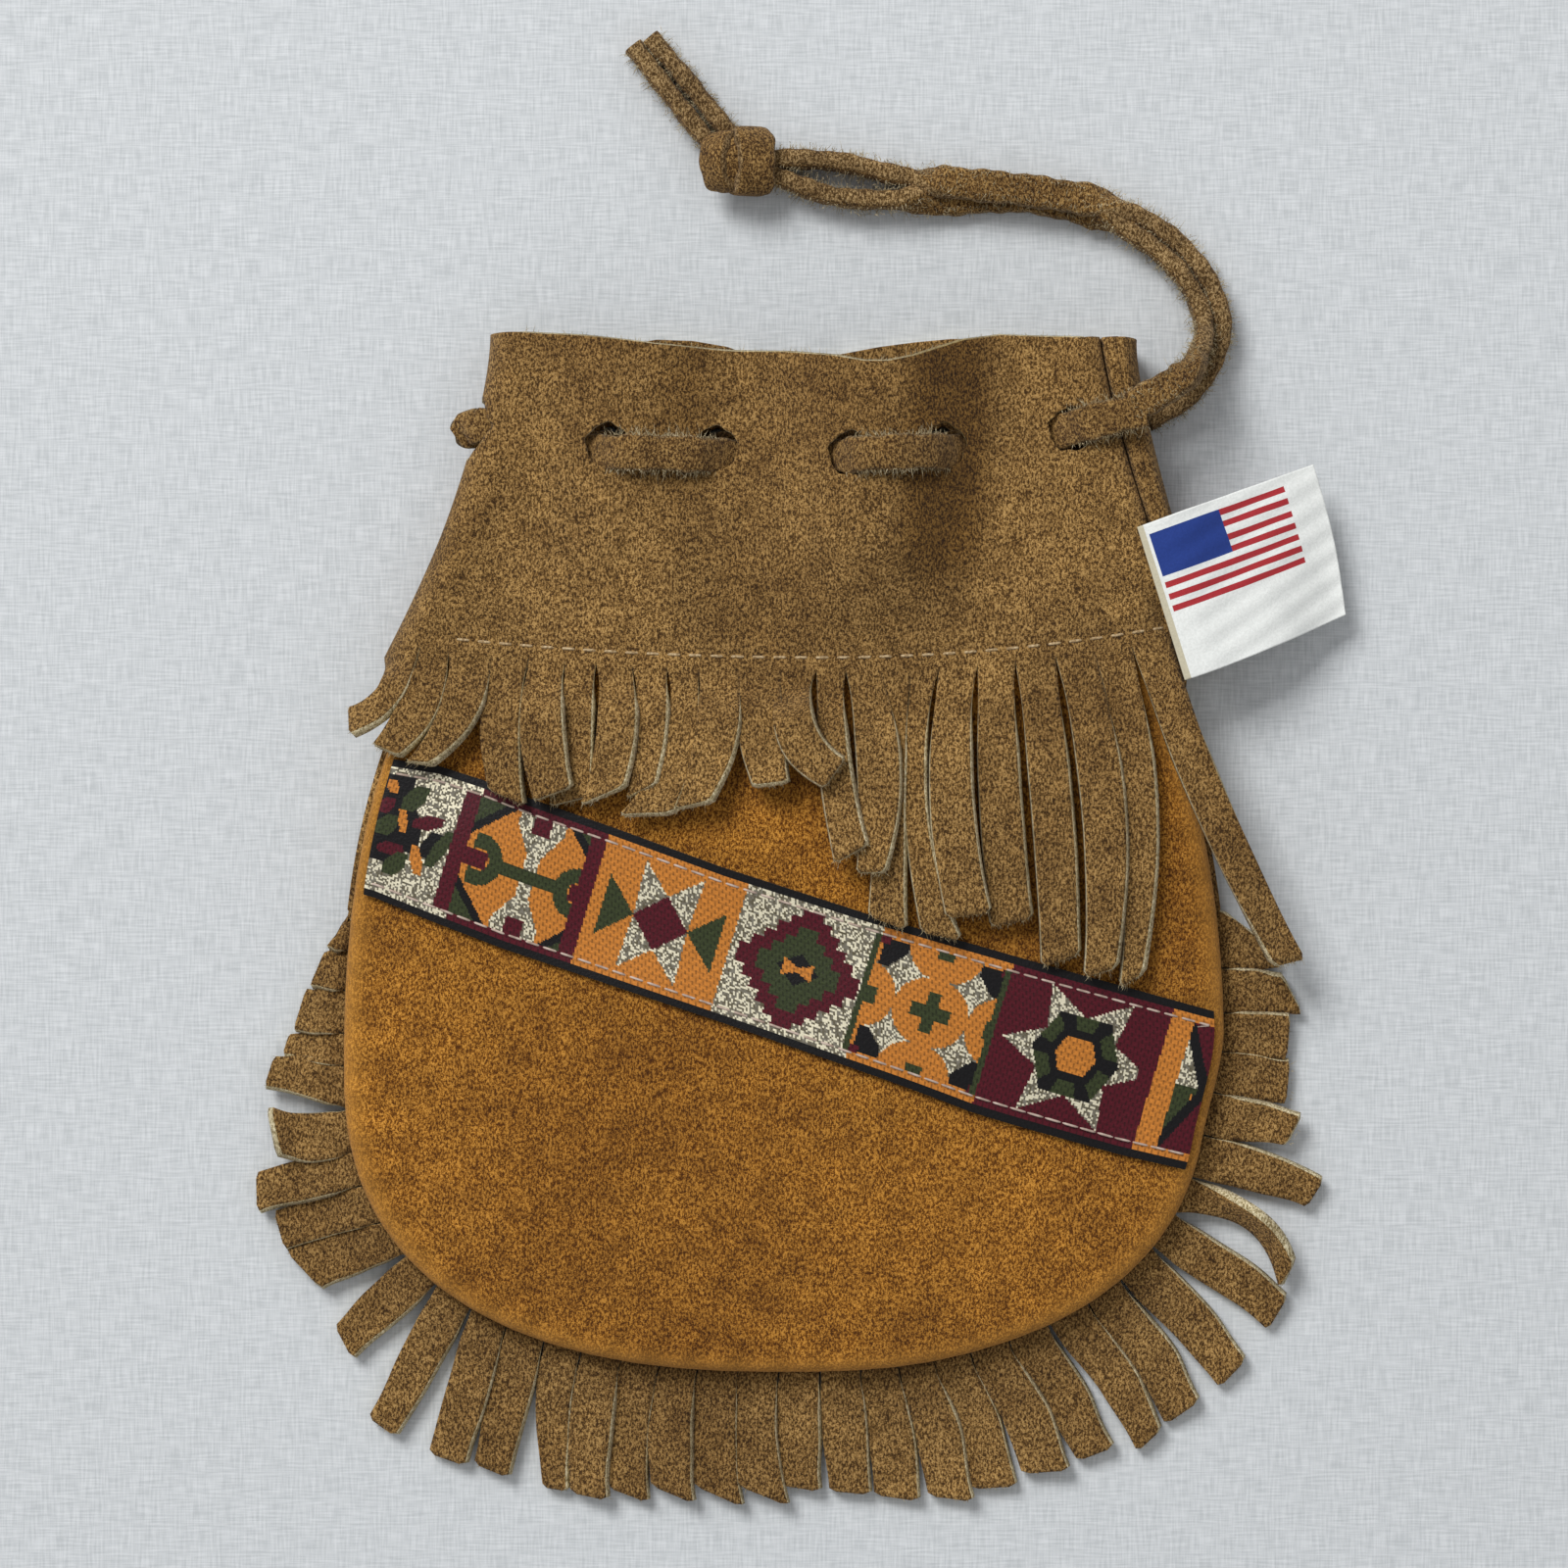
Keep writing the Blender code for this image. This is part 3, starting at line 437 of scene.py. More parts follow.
def suede(name, *tones):
    """Grain of three tones, dark to light, multiplied by soft mottling and by brushed
    patches. The grain is fibre ends and the short clumps that they lie in."""
    dark, middle, light = (srgb(*tone) for tone in tones)
    made = Finish(name, 0.95, sheen=0.06)
    grain = made.blend(made.noise(GRAIN), 0.45, made.noise(CLUMPS, stretch=(1.0, 0.55, 1.0)))
    colour = made.ramp(grain, (0.425, dark), (0.50, middle), (0.59, light))
    patches = made.ramp(made.noise(MOTTLE), (0.30, SHADE), (0.50, WHITE), (0.74, GLOW))
    brushed = made.ramp(made.noise(BRUSHING), (0.32, SHADE), (0.52, WHITE), (0.72, GLOW))
    for tint in (patches, brushed):
        colour = made.mix(1.0, colour, tint, "MULTIPLY")
    # Painted highlight: where the stored rim share is high, the colour is mixed towards the light tone.
    colour = made.mix(made.stored("painted_rim_highlight").outputs["Fac"], colour, light)
    # Painted shade: where the stored fold share is high, the colour is darkened by that tint.
    fold_shaded = made.mix(1.0, colour, FOLD_SHADE_TINT, "MULTIPLY")
    colour = made.mix(made.stored("painted_fold_shade").outputs["Fac"], colour, fold_shaded)
    return made.finish(colour, grain, 0.8, NAP_DEPTH)


taupe = suede("taupe_suede", (60, 39, 12), (121, 89, 44), (175, 139, 84))
golden = suede("golden_suede", (80, 42, 0), (142, 90, 22), (196, 138, 56))
lace_suede = suede("lace_suede", (56, 35, 10), (112, 81, 40), (168, 134, 80))
lace_edge = suede("lace_cut_edge", (66, 46, 18), (114, 87, 50), (172, 144, 100))
cut_edge = suede("cut_suede_edge", (128, 112, 76), (190, 174, 134), (228, 216, 182))
fibre = suede("loose_fibre", (140, 122, 86), (190, 172, 132), (226, 212, 176))
print("finishes:", [m.name for m in (taupe, golden, lace_suede, lace_edge, cut_edge, fibre)])

# %% [markdown]
# ## The body: two panels with a turned seam
#
# The front panel is one sheet whose edge rolls over and goes back under as a
# seam allowance. Its grid runs along the outline one way and inwards by ring
# number the other way, so the rows follow the seam. That keeps the roll round
# everywhere, which a square grid would cut into steps.


# %% The body's outline
class Outline:
    """The body's outline from the top left, round the bottom, to the top right."""

    def __init__(self):
        side = np.linspace(BODY_TOP, 0.0, 200)
        turn = np.linspace(0.0, math.pi / 2, 400)
        arc_x = BODY_HALF_WIDTH * np.cos(turn) ** (2 / BODY_ROUNDNESS)
        arc_y = -BODY_ROUND_DEPTH * np.sin(turn) ** (2 / BODY_ROUNDNESS)
        x = np.concatenate([half_width(side), arc_x[1:]])
        y = np.concatenate([side, arc_y[1:]])
        self.x = np.concatenate([-x, x[-2::-1]])
        self.y = np.concatenate([y, y[-2::-1]])
        self.s = distance_along(np.stack([self.x, self.y], 1))
        self.length = self.s[-1]

    def at(self, s):
        """Places in plan at these distances along the outline."""
        return np.interp(s, self.s, self.x), np.interp(s, self.s, self.y)

    def outward(self, s):
        """Directions square to the outline, away from the body."""
        reach = 0.0012
        x0, y0 = self.at(np.clip(s - reach, 0, self.length))
        x1, y1 = self.at(np.clip(s + reach, 0, self.length))
        size = np.hypot(x1 - x0, y1 - y0)
        return (y1 - y0) / size, (x0 - x1) / size

    def distance_at_level(self, y):
        """How far along the left side a level is."""
        left = slice(0, 200)
        return float(np.interp(-y, -self.y[left], self.s[left]))


outline = Outline()
PUCKER = 0.00022
PUCKER_PITCH = 0.0062
LEAN = 0.0024
print("length of the seam in mm:", round(outline.length / MM, 1))


def body_rows(columns, rings):
    """Plan places on rings of the body: x and y as arrays, ring by column."""
    x, y = outline.at(columns)
    q = rings[:, None]
    return q * x, np.where(y < 0, q * y, y + 0 * q)


def lean_in(x, y):
    """Moves the lower right of the body in, where the pouch isn't even-sided."""
    outside = (ring(x, y) - 1) * INSET_REFERENCE
    share = smooth((x - 0.005) / 0.030) * smooth((0.006 - y) / 0.016)
    return x - LEAN * share * (1 - smooth((outside - 0.001) / 0.012))


# %% Front panel
columns = np.linspace(0.0, outline.length, 420)
roll_angles = np.radians(np.linspace(-90, 90, 13))
roll_rings = 1 - EDGE_ROLL * (1 - np.cos(roll_angles)) / INSET_REFERENCE
x_roll, y_roll = body_rows(columns, roll_rings)
z_roll = flap_level(y_roll) + EDGE_ROLL * (1 + np.sin(roll_angles))[:, None]
x_flap, y_flap = body_rows(columns, np.array([1 - SEAM_ALLOWANCE / INSET_REFERENCE]))
crown_rings = 1 - EDGE_ROLL / INSET_REFERENCE - np.linspace(0, 1, 62)[1:] ** 1.5
crown_rings = np.clip(crown_rings, 0.0, None)
crown_rings = crown_rings[: np.argmax(crown_rings == 0) + 1]
x_crown, y_crown = body_rows(columns, crown_rings)
z_crown = front_level(x_crown, y_crown)
panel_x = np.vstack([x_flap, x_roll, x_crown])
panel_y = np.vstack([y_flap, y_roll, y_crown])
panel_z = np.vstack([flap_level(y_flap), z_roll, z_crown])
inset = (1 - ring(panel_x, panel_y)) * INSET_REFERENCE
near_edge = np.exp(-((inset - 0.002) / 0.003) ** 2)
panel_z = panel_z + PUCKER * near_edge * np.sin(2 * math.pi * columns / PUCKER_PITCH)
front_panel = sheet_piece(
    "front_panel_suede", lean_in(panel_x, panel_y), panel_y, panel_z, golden, cut_edge
)
# A painted highlight along the front panel's rolled edge, strongest at the outline.
share_of(front_panel, "painted_rim_highlight", 0.50 * np.exp(-((inset / 0.0016) ** 2)))
close_middle(front_panel)
thicken(front_panel, SUEDE)
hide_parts("front_panel")
print("front panel points:", len(front_panel.data.vertices))

# %% Back panel
back_rings = np.array([1 - CLEARANCE / INSET_REFERENCE, 0.85, 0.7, 0.5, 0.3, 0.15, 0.0])
x_back, y_back = body_rows(columns[::3], back_rings)
z_back = lift(y_back) + HALF
back_panel = sheet_piece("back_panel_suede", lean_in(x_back, y_back), y_back, z_back, golden, cut_edge)
close_middle(back_panel)
thicken(back_panel, SUEDE)
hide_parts("back_panel")
print("back panel points:", len(back_panel.data.vertices))

# %% [markdown]
# ## The fringe round the bottom
#
# A strip of suede is caught in the side and bottom seam and slit into 37 strips.
# Each one was cut square and has since curled its own way. So a strip is drawn by
# its two cut edges, each from a root on the seam to a corner of the tip, and by
# how far it bows sideways, rises off the surface and curls at its end.

# %% Tips of the bottom fringe
EDGE_FRINGE_START = 0.022
EDGE_WELT = 0.0016
EDGE_SLIT_ROOT = 0.0008
EDGE_SLOPE_LENGTH = 0.009
STRIP_GAP = 0.0002
EDGE_CURL = 0.00034
EDGE_SPREAD = 0.00030
EDGE_ROWS = 26
EDGE_COLUMNS = 7
STANDING_STRIP = 30
STANDING_SHARE = 0.55
STANDING_RISE = 0.0026
FIRST_ROOT = (-60.6, 22.4)

# Where the root ends on the seam, the tip's first and second corner, the bow towards
# the first edge, the lift and the curl, all in mm, from the top left round to the right
EDGE_TIPS = np.array([
    (-62.2, 16.7, -61.5, 21.8, -65.4, 16.9, 0.0, 0, 0),
    (-62.3, 10.9, -65.8, 16.5, -67.9, 11.5, 0.0, 0.1, 0),
    (-62.6, 4.9, -68.5, 11.2, -70.4, 5.0, 0.0, 0.4, 0.1),
    (-62.6, -0.1, -71.1, 4.6, -72.0, 1.4, 0.0, 0, 0),
    (-62.6, -6.0, -73.2, 1.7, -74.6, -2.9, 0.4, 1.2, 0.3),
    (-62.2, -12.3, -73.9, -5.7, -72.4, -12.7, -1.0, 0.3, 2.6),
    (-60.2, -16.9, -75.9, -15.1, -75.6, -21.0, 0.1, 0.5, 0),
    (-57.8, -22.5, -73.4, -20.7, -71.7, -26.5, 0.3, 0.2, 0.3),
    (-53.8, -26.6, -71.7, -26.6, -66.4, -32.1, 0.4, 0.2, 0.6),
    (-49.7, -30.9, -64.7, -37.2, -62.0, -42.0, 0.0, 0.1, 0.2),
    (-44.5, -33.9, -59.8, -50.4, -55.6, -53.3, 0.0, 0.4, 0.2),
    (-39.5, -36.4, -51.1, -55.6, -45.5, -57.4, 0.0, 0.2, 0.1),
    (-34.0, -37.9, -44.8, -57.0, -39.5, -59.1, 0.0, 0.5, 0.1),
    (-28.6, -38.9, -34.6, -60.5, -30.7, -61, 1, 0.1, 0.4),
    (-23, -39.9, -30.7, -61.2, -25.1, -62.2, 0.7, 0.7, 0.3),
    (-17.6, -41.2, -25.5, -60.5, -19.3, -62.7, 1, 0.2, 0.5),
    (-12.3, -41.6, -19, -60.2, -12.5, -62.7, 1, 0.6, 0.5),
    (-6.4, -42.7, -13.2, -60.2, -5.7, -63.3, 0.8, 0.2, 0.6),
    (-0.7, -42.8, -6.7, -60.2, 1, -63.1, 1.3, 0.7, 0.6),
    (5.2, -42.8, -0.6, -60.2, 5.5, -61, 0.4, 0.2, 0.3),
    (11.2, -42.4, 6.3, -61.0, 12.5, -61.5, 0.0, 0.5, 0.2),
    (17.2, -41.6, 13.0, -61.6, 19.7, -62.4, 0.0, 0.2, 0.2),
    (22.8, -40.9, 20.7, -61.7, 27.4, -62.4, 0.0, 0.5, 0.2),
    (28.6, -39.6, 26.7, -60.8, 33.6, -60.3, 0.3, 0.2, 0.3),
    (34.2, -38.1, 34.3, -58.5, 41.3, -57.8, 0.3, 0.5, 0.4),
    (40, -35.8, 42.1, -56.8, 47.5, -54.6, 0.6, 0.2, 0.5),
    (45.4, -32.9, 50.7, -55.4, 54.3, -52.1, 0.0, 0.6, 0.2),
    (50.4, -30.0, 54.9, -51.5, 59.9, -47.9, 0.0, 0.2, 0.2),
    (54.6, -25.3, 62.4, -46.3, 66.4, -42.1, 0.0, 0.4, 0.3),
    (57.4, -20.4, 69.6, -37.9, 72.5, -32.9, 0.0, 0.1, 0.3),
    (58.7, -15.1, 71.1, -31.9, 73.2, -27.9, -3.2, 2.2, 0.2),
    (60.9, -9.4, 75, -20.4, 77.6, -16.2, -0.6, 0.6, 0.3),
    (61.6, -3.6, 72.7, -11.2, 74.6, -6.6, 0.0, 0.4, 1.6),
    (61.6, 2.1, 72.8, -5.5, 72.9, 1.0, 0.0, 0.2, 0.4),
    (61.6, 7.7, 72.4, 0.8, 72.7, 7.6, 0.0, 0.6, 0.4),
    (61.6, 14.0, 74.6, 7.6, 71.5, 13.4, 0.0, 0.3, 0.4),
    (61.7, 23.0, 71.4, 14.0, 68.6, 18.5, 0.0, 0.1, 0),
])
EDGE_STRIPS = len(EDGE_TIPS)
print("edge strips:", EDGE_STRIPS)


# %% Edge fringe
def edge_level(y, out):
    """Middle of the slit strip: level in the seam, then down to the surface."""
    seat = lift(y) + LAYER + HALF
    return seat + (HALF - seat) * smooth((out - EDGE_SLIT_ROOT) / EDGE_SLOPE_LENGTH)


def blunt(strip):
    """Draws the two corners of a strip's end back towards the row before it."""
    strip[-1, [0, -1]] += 0.65 * (strip[-2, [0, -1]] - strip[-1, [0, -1]])
    return strip


def edge_strip(number, start_s, end_s, numbers):
    """One strip: its two edges run from the root's corners to the tip's corners, and
    both bow by the same parabola. It rolls about its middle line, and its end lifts."""
    t = np.linspace(0, 1, EDGE_ROWS)[:, None]
    u = np.linspace(0, 1, EDGE_COLUMNS)[None, :]
    s = np.array([start_s, end_s])
    roots = np.stack(outline.at(s), 1) + np.stack(outline.outward(s), 1) * EDGE_SLIT_ROOT
    tips = numbers[2:6].reshape(2, 2) * MM
    bow, rise, curl = numbers[6:9] * MM
    forward = (tips[0] + tips[1] - roots[0] - roots[1]) / 2
    size = math.hypot(*forward)
    square = np.array([-forward[1], forward[0]]) / size
    square = square * np.sign(square @ (roots[0] - roots[1]))
    first, second = roots[:, None] + (tips - roots)[:, None] * t
    spread = EDGE_SPREAD * smooth((t - 0.05) / 0.2) * (1 - smooth((t - 0.55) / 0.35))
    spread = (spread - STRIP_GAP / 2) / np.linalg.norm(first - second, axis=1)[:, None]
    stand = STANDING_SHARE * np.sin(math.pi * t) if number == STANDING_STRIP else 0 * t
    w = 0.5 + ((1 + 2 * spread) * u - spread - 0.5) * (1 - stand)
    sway = 0.12 * MM * np.sin(2 * math.pi * (1.4 * t + 0.37 * number)) * t + bow * 4 * t * (1 - t)
    plan = first[:, None] + (second - first)[:, None] * w[..., None] + square * sway[..., None]
    roll = (0.34 + 0.14 * math.sin(2.4 * number)) * MM
    settle = smooth(t * 2.5)
    tilt = roll * (2 * u - 1) * settle + STANDING_RISE * stand * (2 * u - 1)
    cup = EDGE_CURL * np.where(u > 0.5, 1.0, 0.3) * (2 * u - 1) ** 4 * smooth(t * 3)
    z = edge_level(roots[0][1], EDGE_SLIT_ROOT + t * size)
    z = z + roll * settle + tilt + cup + rise * smooth(t * 1.8) + curl * t**3
    return blunt(np.dstack([plan, np.maximum(z, HALF)]))


fringe_start = outline.distance_at_level(EDGE_FRINGE_START)
root_places = np.vstack([[FIRST_ROOT], EDGE_TIPS[:, :2]]) * MM
away = np.hypot(root_places[:, :1] - outline.x, root_places[:, 1:] - outline.y)
cuts = outline.s[away.argmin(axis=1)]
fringe = Gathered()
seam_s = np.linspace(0.0, outline.length, 300)
outs = np.array([-SEAM_ALLOWANCE, -SEAM_ALLOWANCE / 2, 0.0, EDGE_SLIT_ROOT, EDGE_WELT])[:, None]
sx, sy = outline.at(seam_s)
snx, sny = outline.outward(seam_s)
beside_fringe = (seam_s < fringe_start) | (seam_s > outline.length - fringe_start)
welt_out = np.where(beside_fringe, outs, np.minimum(outs, EDGE_SLIT_ROOT + 0.0001))
seam_z = edge_level(sy, EDGE_SLIT_ROOT) + 0 * welt_out
fringe.add(np.stack([sx + snx * welt_out, sy + sny * welt_out, seam_z], 2))
edge_tips = []
for number in range(EDGE_STRIPS):
    strip = edge_strip(number, cuts[number], cuts[number + 1], EDGE_TIPS[number])
    fringe.add(strip)
    edge_tips.append(strip[[-2, -1]])
fringe_points = np.concatenate(fringe.parts)
fringe_points[:, 0] = lean_in(fringe_points[:, 0], fringe_points[:, 1])
fringe_faces = np.concatenate(fringe.quads)
edge_fringe = mesh_piece("edge_fringe_suede", fringe_points, fringe_faces, taupe, cut_edge)
thicken(edge_fringe, SUEDE)
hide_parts("edge_fringe")
print("edge fringe points:", fringe.total)

# %% [markdown]
# ## The neck band
#
# The band is one sheet. Its section runs from the right seam's front flap over
# the front, round the left fold, back under, and up over the right side to the
# other flap. Each point keeps its share of that section at every level, so the
# whole band is two parameters: how far round, and how far up.

# %% Section and levels of the band
MOUTH_LEFT = -0.0413
MOUTH_RIGHT = 0.0448
YOKE_EASE_LEFT = 0.0062
YOKE_EASE_RIGHT = 0.0080
FOLD_RADIUS = 0.004
SEAM_FLAP = 0.0042
STITCH_SINK = 0.00030
SEAM_TURN = 0.0008
LABEL_THICK = 0.0004
SEAM_GAP = LABEL_THICK + 2 * CLEARANCE
WRAP_TOP = 0.0051
WRAP_ROOT = 0.0028
LABEL_REACH = 0.0785
TOUCHING = 0.0001
RIPPLE = 0.0014
RIPPLE_LENGTH = 0.036
FULL_FOLD = 0.0036
RIPPLE_CREST = 0.014
LACE_WIDTH = 0.0050
LACE_THICK = 0.0020
LACE_LEVEL = 0.0886
HOLE_DIAMETER = 0.0062
BACK_RISE = LACE_THICK + 1.5 * CLEARANCE
PASS = HALF + CLEARANCE + LACE_THICK / 2


def stitch_level(x):
    """The sewn line that holds the band to the body, bowed up towards the sides."""
    d = x - YOKE_STITCH_CENTRE
    return YOKE_STITCH + np.where(d < 0, YOKE_STITCH_BOW_LEFT, YOKE_STITCH_BOW_RIGHT) * d**2


def slope_share(y):
    """0 at the mouth and 1 at the root of the fringe."""
    return np.clip((YOKE_TOP - y) / (YOKE_TOP - YOKE_ROOT), 0.0, 1.2)


def fold_x(y):
    """Outermost place of the left fold."""
    root = -(half_width(YOKE_ROOT) + YOKE_EASE_LEFT)
    return MOUTH_LEFT + (root - MOUTH_LEFT) * slope_share(y) ** 1.6


def seam_x(y):
    """The crease of the right seam."""
    root = half_width(YOKE_ROOT) + YOKE_EASE_RIGHT
    return MOUTH_RIGHT + (root - MOUTH_RIGHT) * slope_share(y) ** 1.3


def wrap_x(y):
    """Outermost place of the right side, past the seam."""
    return seam_x(y) + WRAP_TOP + (WRAP_ROOT - WRAP_TOP) * slope_share(y) ** 0.5


def back_level(y):
    """Middle of the band's back layer: it rises over the lace that runs under it."""
    away = np.abs(y - LACE_LEVEL) - 0.7 * LACE_WIDTH
    return HALF + BACK_RISE * (1 - smooth(away / 0.012))


def neck_folds(x, y):
    """Soft folds down the neck: even ripples, a fuller fold that falls steeply on its
    right, and slow hollows. They end where the band is sewn down."""
    ripple = RIPPLE * np.cos(2 * math.pi * (x - RIPPLE_CREST) / RIPPLE_LENGTH)
    full = FULL_FOLD * smooth((x + 0.012) / 0.021) * (1 - smooth((x - 0.011) / 0.021))
    return (ripple + full + 0.8 * hand_feel(1.6 * x, 1.3 * y)) * smooth((y - YOKE_STITCH) / 0.018)


def fold_shade_share(x, y):
    """From 0 to 1, how much painted shade goes on the side of a fold that falls to the right, away from the
    lamp at the upper left, where the suede is tinted darker in place of shade."""
    fall = (neck_folds(x - MM, y) - neck_folds(x + MM, y)) / (2 * MM)
    return smooth((fall - 0.12) / 0.38)


def yoke_level(x, y):
    """Middle of the band's front layer, from the fringe's root to the mouth."""
    sewn = cover_level(x, np.minimum(y, BODY_TOP)) + LAYER
    share = smooth((y - BODY_TOP) / (LACE_LEVEL - BODY_TOP - 0.5 * LACE_WIDTH))
    neck = HALF + BACK_RISE + 2 * PASS + LACE_THICK + CLEARANCE + RIPPLE
    return sewn + (neck - sewn) * share + neck_folds(x, y)


print("neck's front above the surface in mm:", round(float(yoke_level(0.0, 0.09)) / MM, 1))

# %% [markdown]
# The lower edge of the band is slit into strips. Their roots were cut side by
# side, but each one has since leaned, curled or slid over its neighbour. So a
# strip is drawn by its two cut edges, each a smooth curve through a root, one
# place on the way and a tip, and by how far it is lifted off what lies below.

# %% Strips of the band, left to right
# Right end of the root, then left edge and right edge: halfway x, y and tip x, y, in mm
# The last two are the lift over its neighbours and the curl of the tip, in mm
FRONT_STRIPS = np.array([
    (-53.5, -57.1, 54.3, -61.6, 51.5, -56.0, 50.7, -61.3, 47.3, 0.0, 0.6),
    (-49.0, -54.7, 51.5, -58.4, 46.3, -50.4, 48.7, -54.2, 44.4, 0.2, 0.8),
    (-42.3, -50.0, 48.3, -53.6, 43.8, -43.8, 49.8, -49.7, 43.3, 0.9, 0.7),
    (-36.7, -42.8, 47.6, -41.9, 39.8, -37.5, 47.3, -36.4, 37.5, 0.4, 0.3),
    (-31.4, -37.0, 47.3, -35.4, 38.1, -31.2, 47.6, -29.7, 40.2, 1.7, 0.5),
    (-26.9, -31.9, 47.6, -33.3, 37.4, -27.2, 48.3, -27.0, 38.9, 0.0, 0.2),
    (-21.7, -26.3, 47.6, -28.8, 37.5, -21.0, 48.7, -22.3, 40.2, 1.0, 0.9),
    (-16.7, -20.7, 48.3, -22.4, 38.5, -16.8, 47.2, -17.8, 40.6, 0.3, 0.5),
    (-12.2, -16.5, 47.6, -23.4, 36.1, -12.3, 47.6, -15.4, 36.4, 0.1, 1.5),
    (-6.4, -12.6, 46.2, -15.4, 37.0, -7.0, 45.9, -10.1, 38.1, 1.3, 1.0),
    (-0.3, -6.0, 46.2, -4.5, 40.2, 0.0, 46.2, 0.8, 40.9, 0.8, 1.6),
    (4.6, 0.5, 44.4, 5.6, 39.9, 5.3, 47.0, 8.7, 44.3, 3.6, 0.6),
    (8.7, 5.3, 42.0, 7.0, 29.3, 9.5, 41.3, 12.0, 32.1, 2.0, 0.9),
    (13.7, 10.6, 40.6, 10.1, 28.1, 16.2, 38.6, 14.4, 28.1, 1.4, 0.9),
    (18.1, 13.0, 36.4, 11.8, 22.0, 17.0, 37.8, 17.4, 19.9, 0.0, 0.3),
    (22.1, 17.3, 36.4, 19.3, 19.6, 20.6, 33.6, 25.3, 18.5, 0.1, 0.3),
    (27.6, 20.9, 36.4, 22.8, 21.6, 26.6, 37.1, 29.4, 22.5, 1.7, 0.4),
    (33.0, 27.9, 36.4, 29.1, 20.3, 33.5, 36.4, 35.3, 21.6, 0.3, 0.2),
    (38.9, 35.3, 36.4, 36.3, 14.6, 40.7, 36.4, 42.0, 16.4, 0.2, 0.3),
    (44.7, 42.4, 36.4, 42.3, 13.2, 48.2, 35.7, 47.2, 14.6, 0.8, 0.4),
    (50.4, 48.2, 34.3, 47.4, 11.8, 52.7, 33.6, 51.0, 13.7, 0.1, 0.3),
    (55.8, 58.1, 37.4, 69.4, 14.6, 63.0, 37.8, 74.3, 15.8, 0.3, 0.9),
])
ACROSS = 8
FOLD_STEPS = 16
BACK_STEPS = 36
STRIP_STEPS = 34
SIDE_SPREAD = 0.00035
STRIP_ROLL = 0.00030
NECK_STEPS = 90
RIBBON_THICK = 0.0006
MOUTH_X = np.array([-41.2, -28.3, -18.3, -8.0, 0.0, 7.1, 11.1, 14.3, 17.9, 21.4, 25.1, 30.7, 44.2]) * MM
MOUTH_Y = np.array([105.1, 104.2, 103.0, 102.2, 101.9, 101.1, 100.3, 100.3, 101.1, 102.3, 103.6,
                    104.5, 103.9]) * MM
MOUTH_FLARE = 0.00015
BACK_MOUTH_X = np.array([-41.0, -28.0, -22.0, -18.3, -13.0, -8.0, -4.0, 4.0, 8.0, 14.0, 19.0, 24.0, 30.0,
                         44.0]) * MM
BACK_MOUTH_Y = np.array([104.9, 103.7, 103.8, 104.5, 104.3, 103.4, 101.8, 101.3, 102.2, 103.4, 104.1, 104.6,
                         104.6, 103.9]) * MM


def band_part(part, y, s):
    """Places across and heights of one part of the band's section, for levels y and
    shares s along that part. Straight parts run evenly, and turns are quarter circles
    stretched to the thickness that the band has there."""
    seam, wrap = seam_x(y), wrap_x(y)
    gap = TOUCHING + (SEAM_GAP - TOUCHING) * smooth((LABEL_REACH - y) / 0.003)
    side = gap / 2 + HALF
    start, end, far = seam - side - 2 * SEAM_TURN, fold_x(y) + FOLD_RADIUS, wrap - FOLD_RADIUS
    base, top, high = back_level(y), yoke_level(start, y), yoke_level(end, y)
    rim = top - 0.2 * SEAM_TURN
    shoulder = seam + side + 1.4 * SEAM_TURN
    middle, half = (rim + base) / 2, (rim - base) / 2
    across = start + (end - start) * s
    sunk = STITCH_SINK * np.exp(-(((y - stitch_level(across)) / 0.0010) ** 2))
    cos, sin = np.cos(math.pi / 2 * s), np.sin(math.pi / 2 * s)
    return {
        "flap": (seam - side + 0 * s, top - SEAM_FLAP + (SEAM_FLAP - SEAM_TURN) * s),
        "turn": (start + 2 * SEAM_TURN * cos, top - SEAM_TURN + SEAM_TURN * sin),
        "front": (across, yoke_level(across, y) - sunk),
        "fold": (end - FOLD_RADIUS * np.sin(math.pi * s),
                 (high + base) / 2 + (high - base) / 2 * np.cos(math.pi * s)),
        "back": (end + (far - end) * s, base + 0 * s),
        "under": (far + FOLD_RADIUS * sin, middle - half * cos),
        "over": (shoulder + (wrap - shoulder) * cos, middle + half * sin),
        "tuck": (seam + side + 1.4 * SEAM_TURN * (1 - sin), rim - SEAM_TURN * (1 - cos)),
        "tail": (seam + side + 0 * s, rim - SEAM_TURN - (SEAM_FLAP - SEAM_TURN) * s),
    }[part]


def band_surface(levels, groups):
    """The band's points for an array of levels, row by column. groups gives, for each
    part of the section, its columns and their shares along that part."""
    x, z = np.empty_like(levels), np.empty_like(levels)
    for part, (columns, shares) in groups.items():
        x[:, columns], z[:, columns] = band_part(part, levels[:, columns], shares)
    return np.stack([x, levels, z], 2)


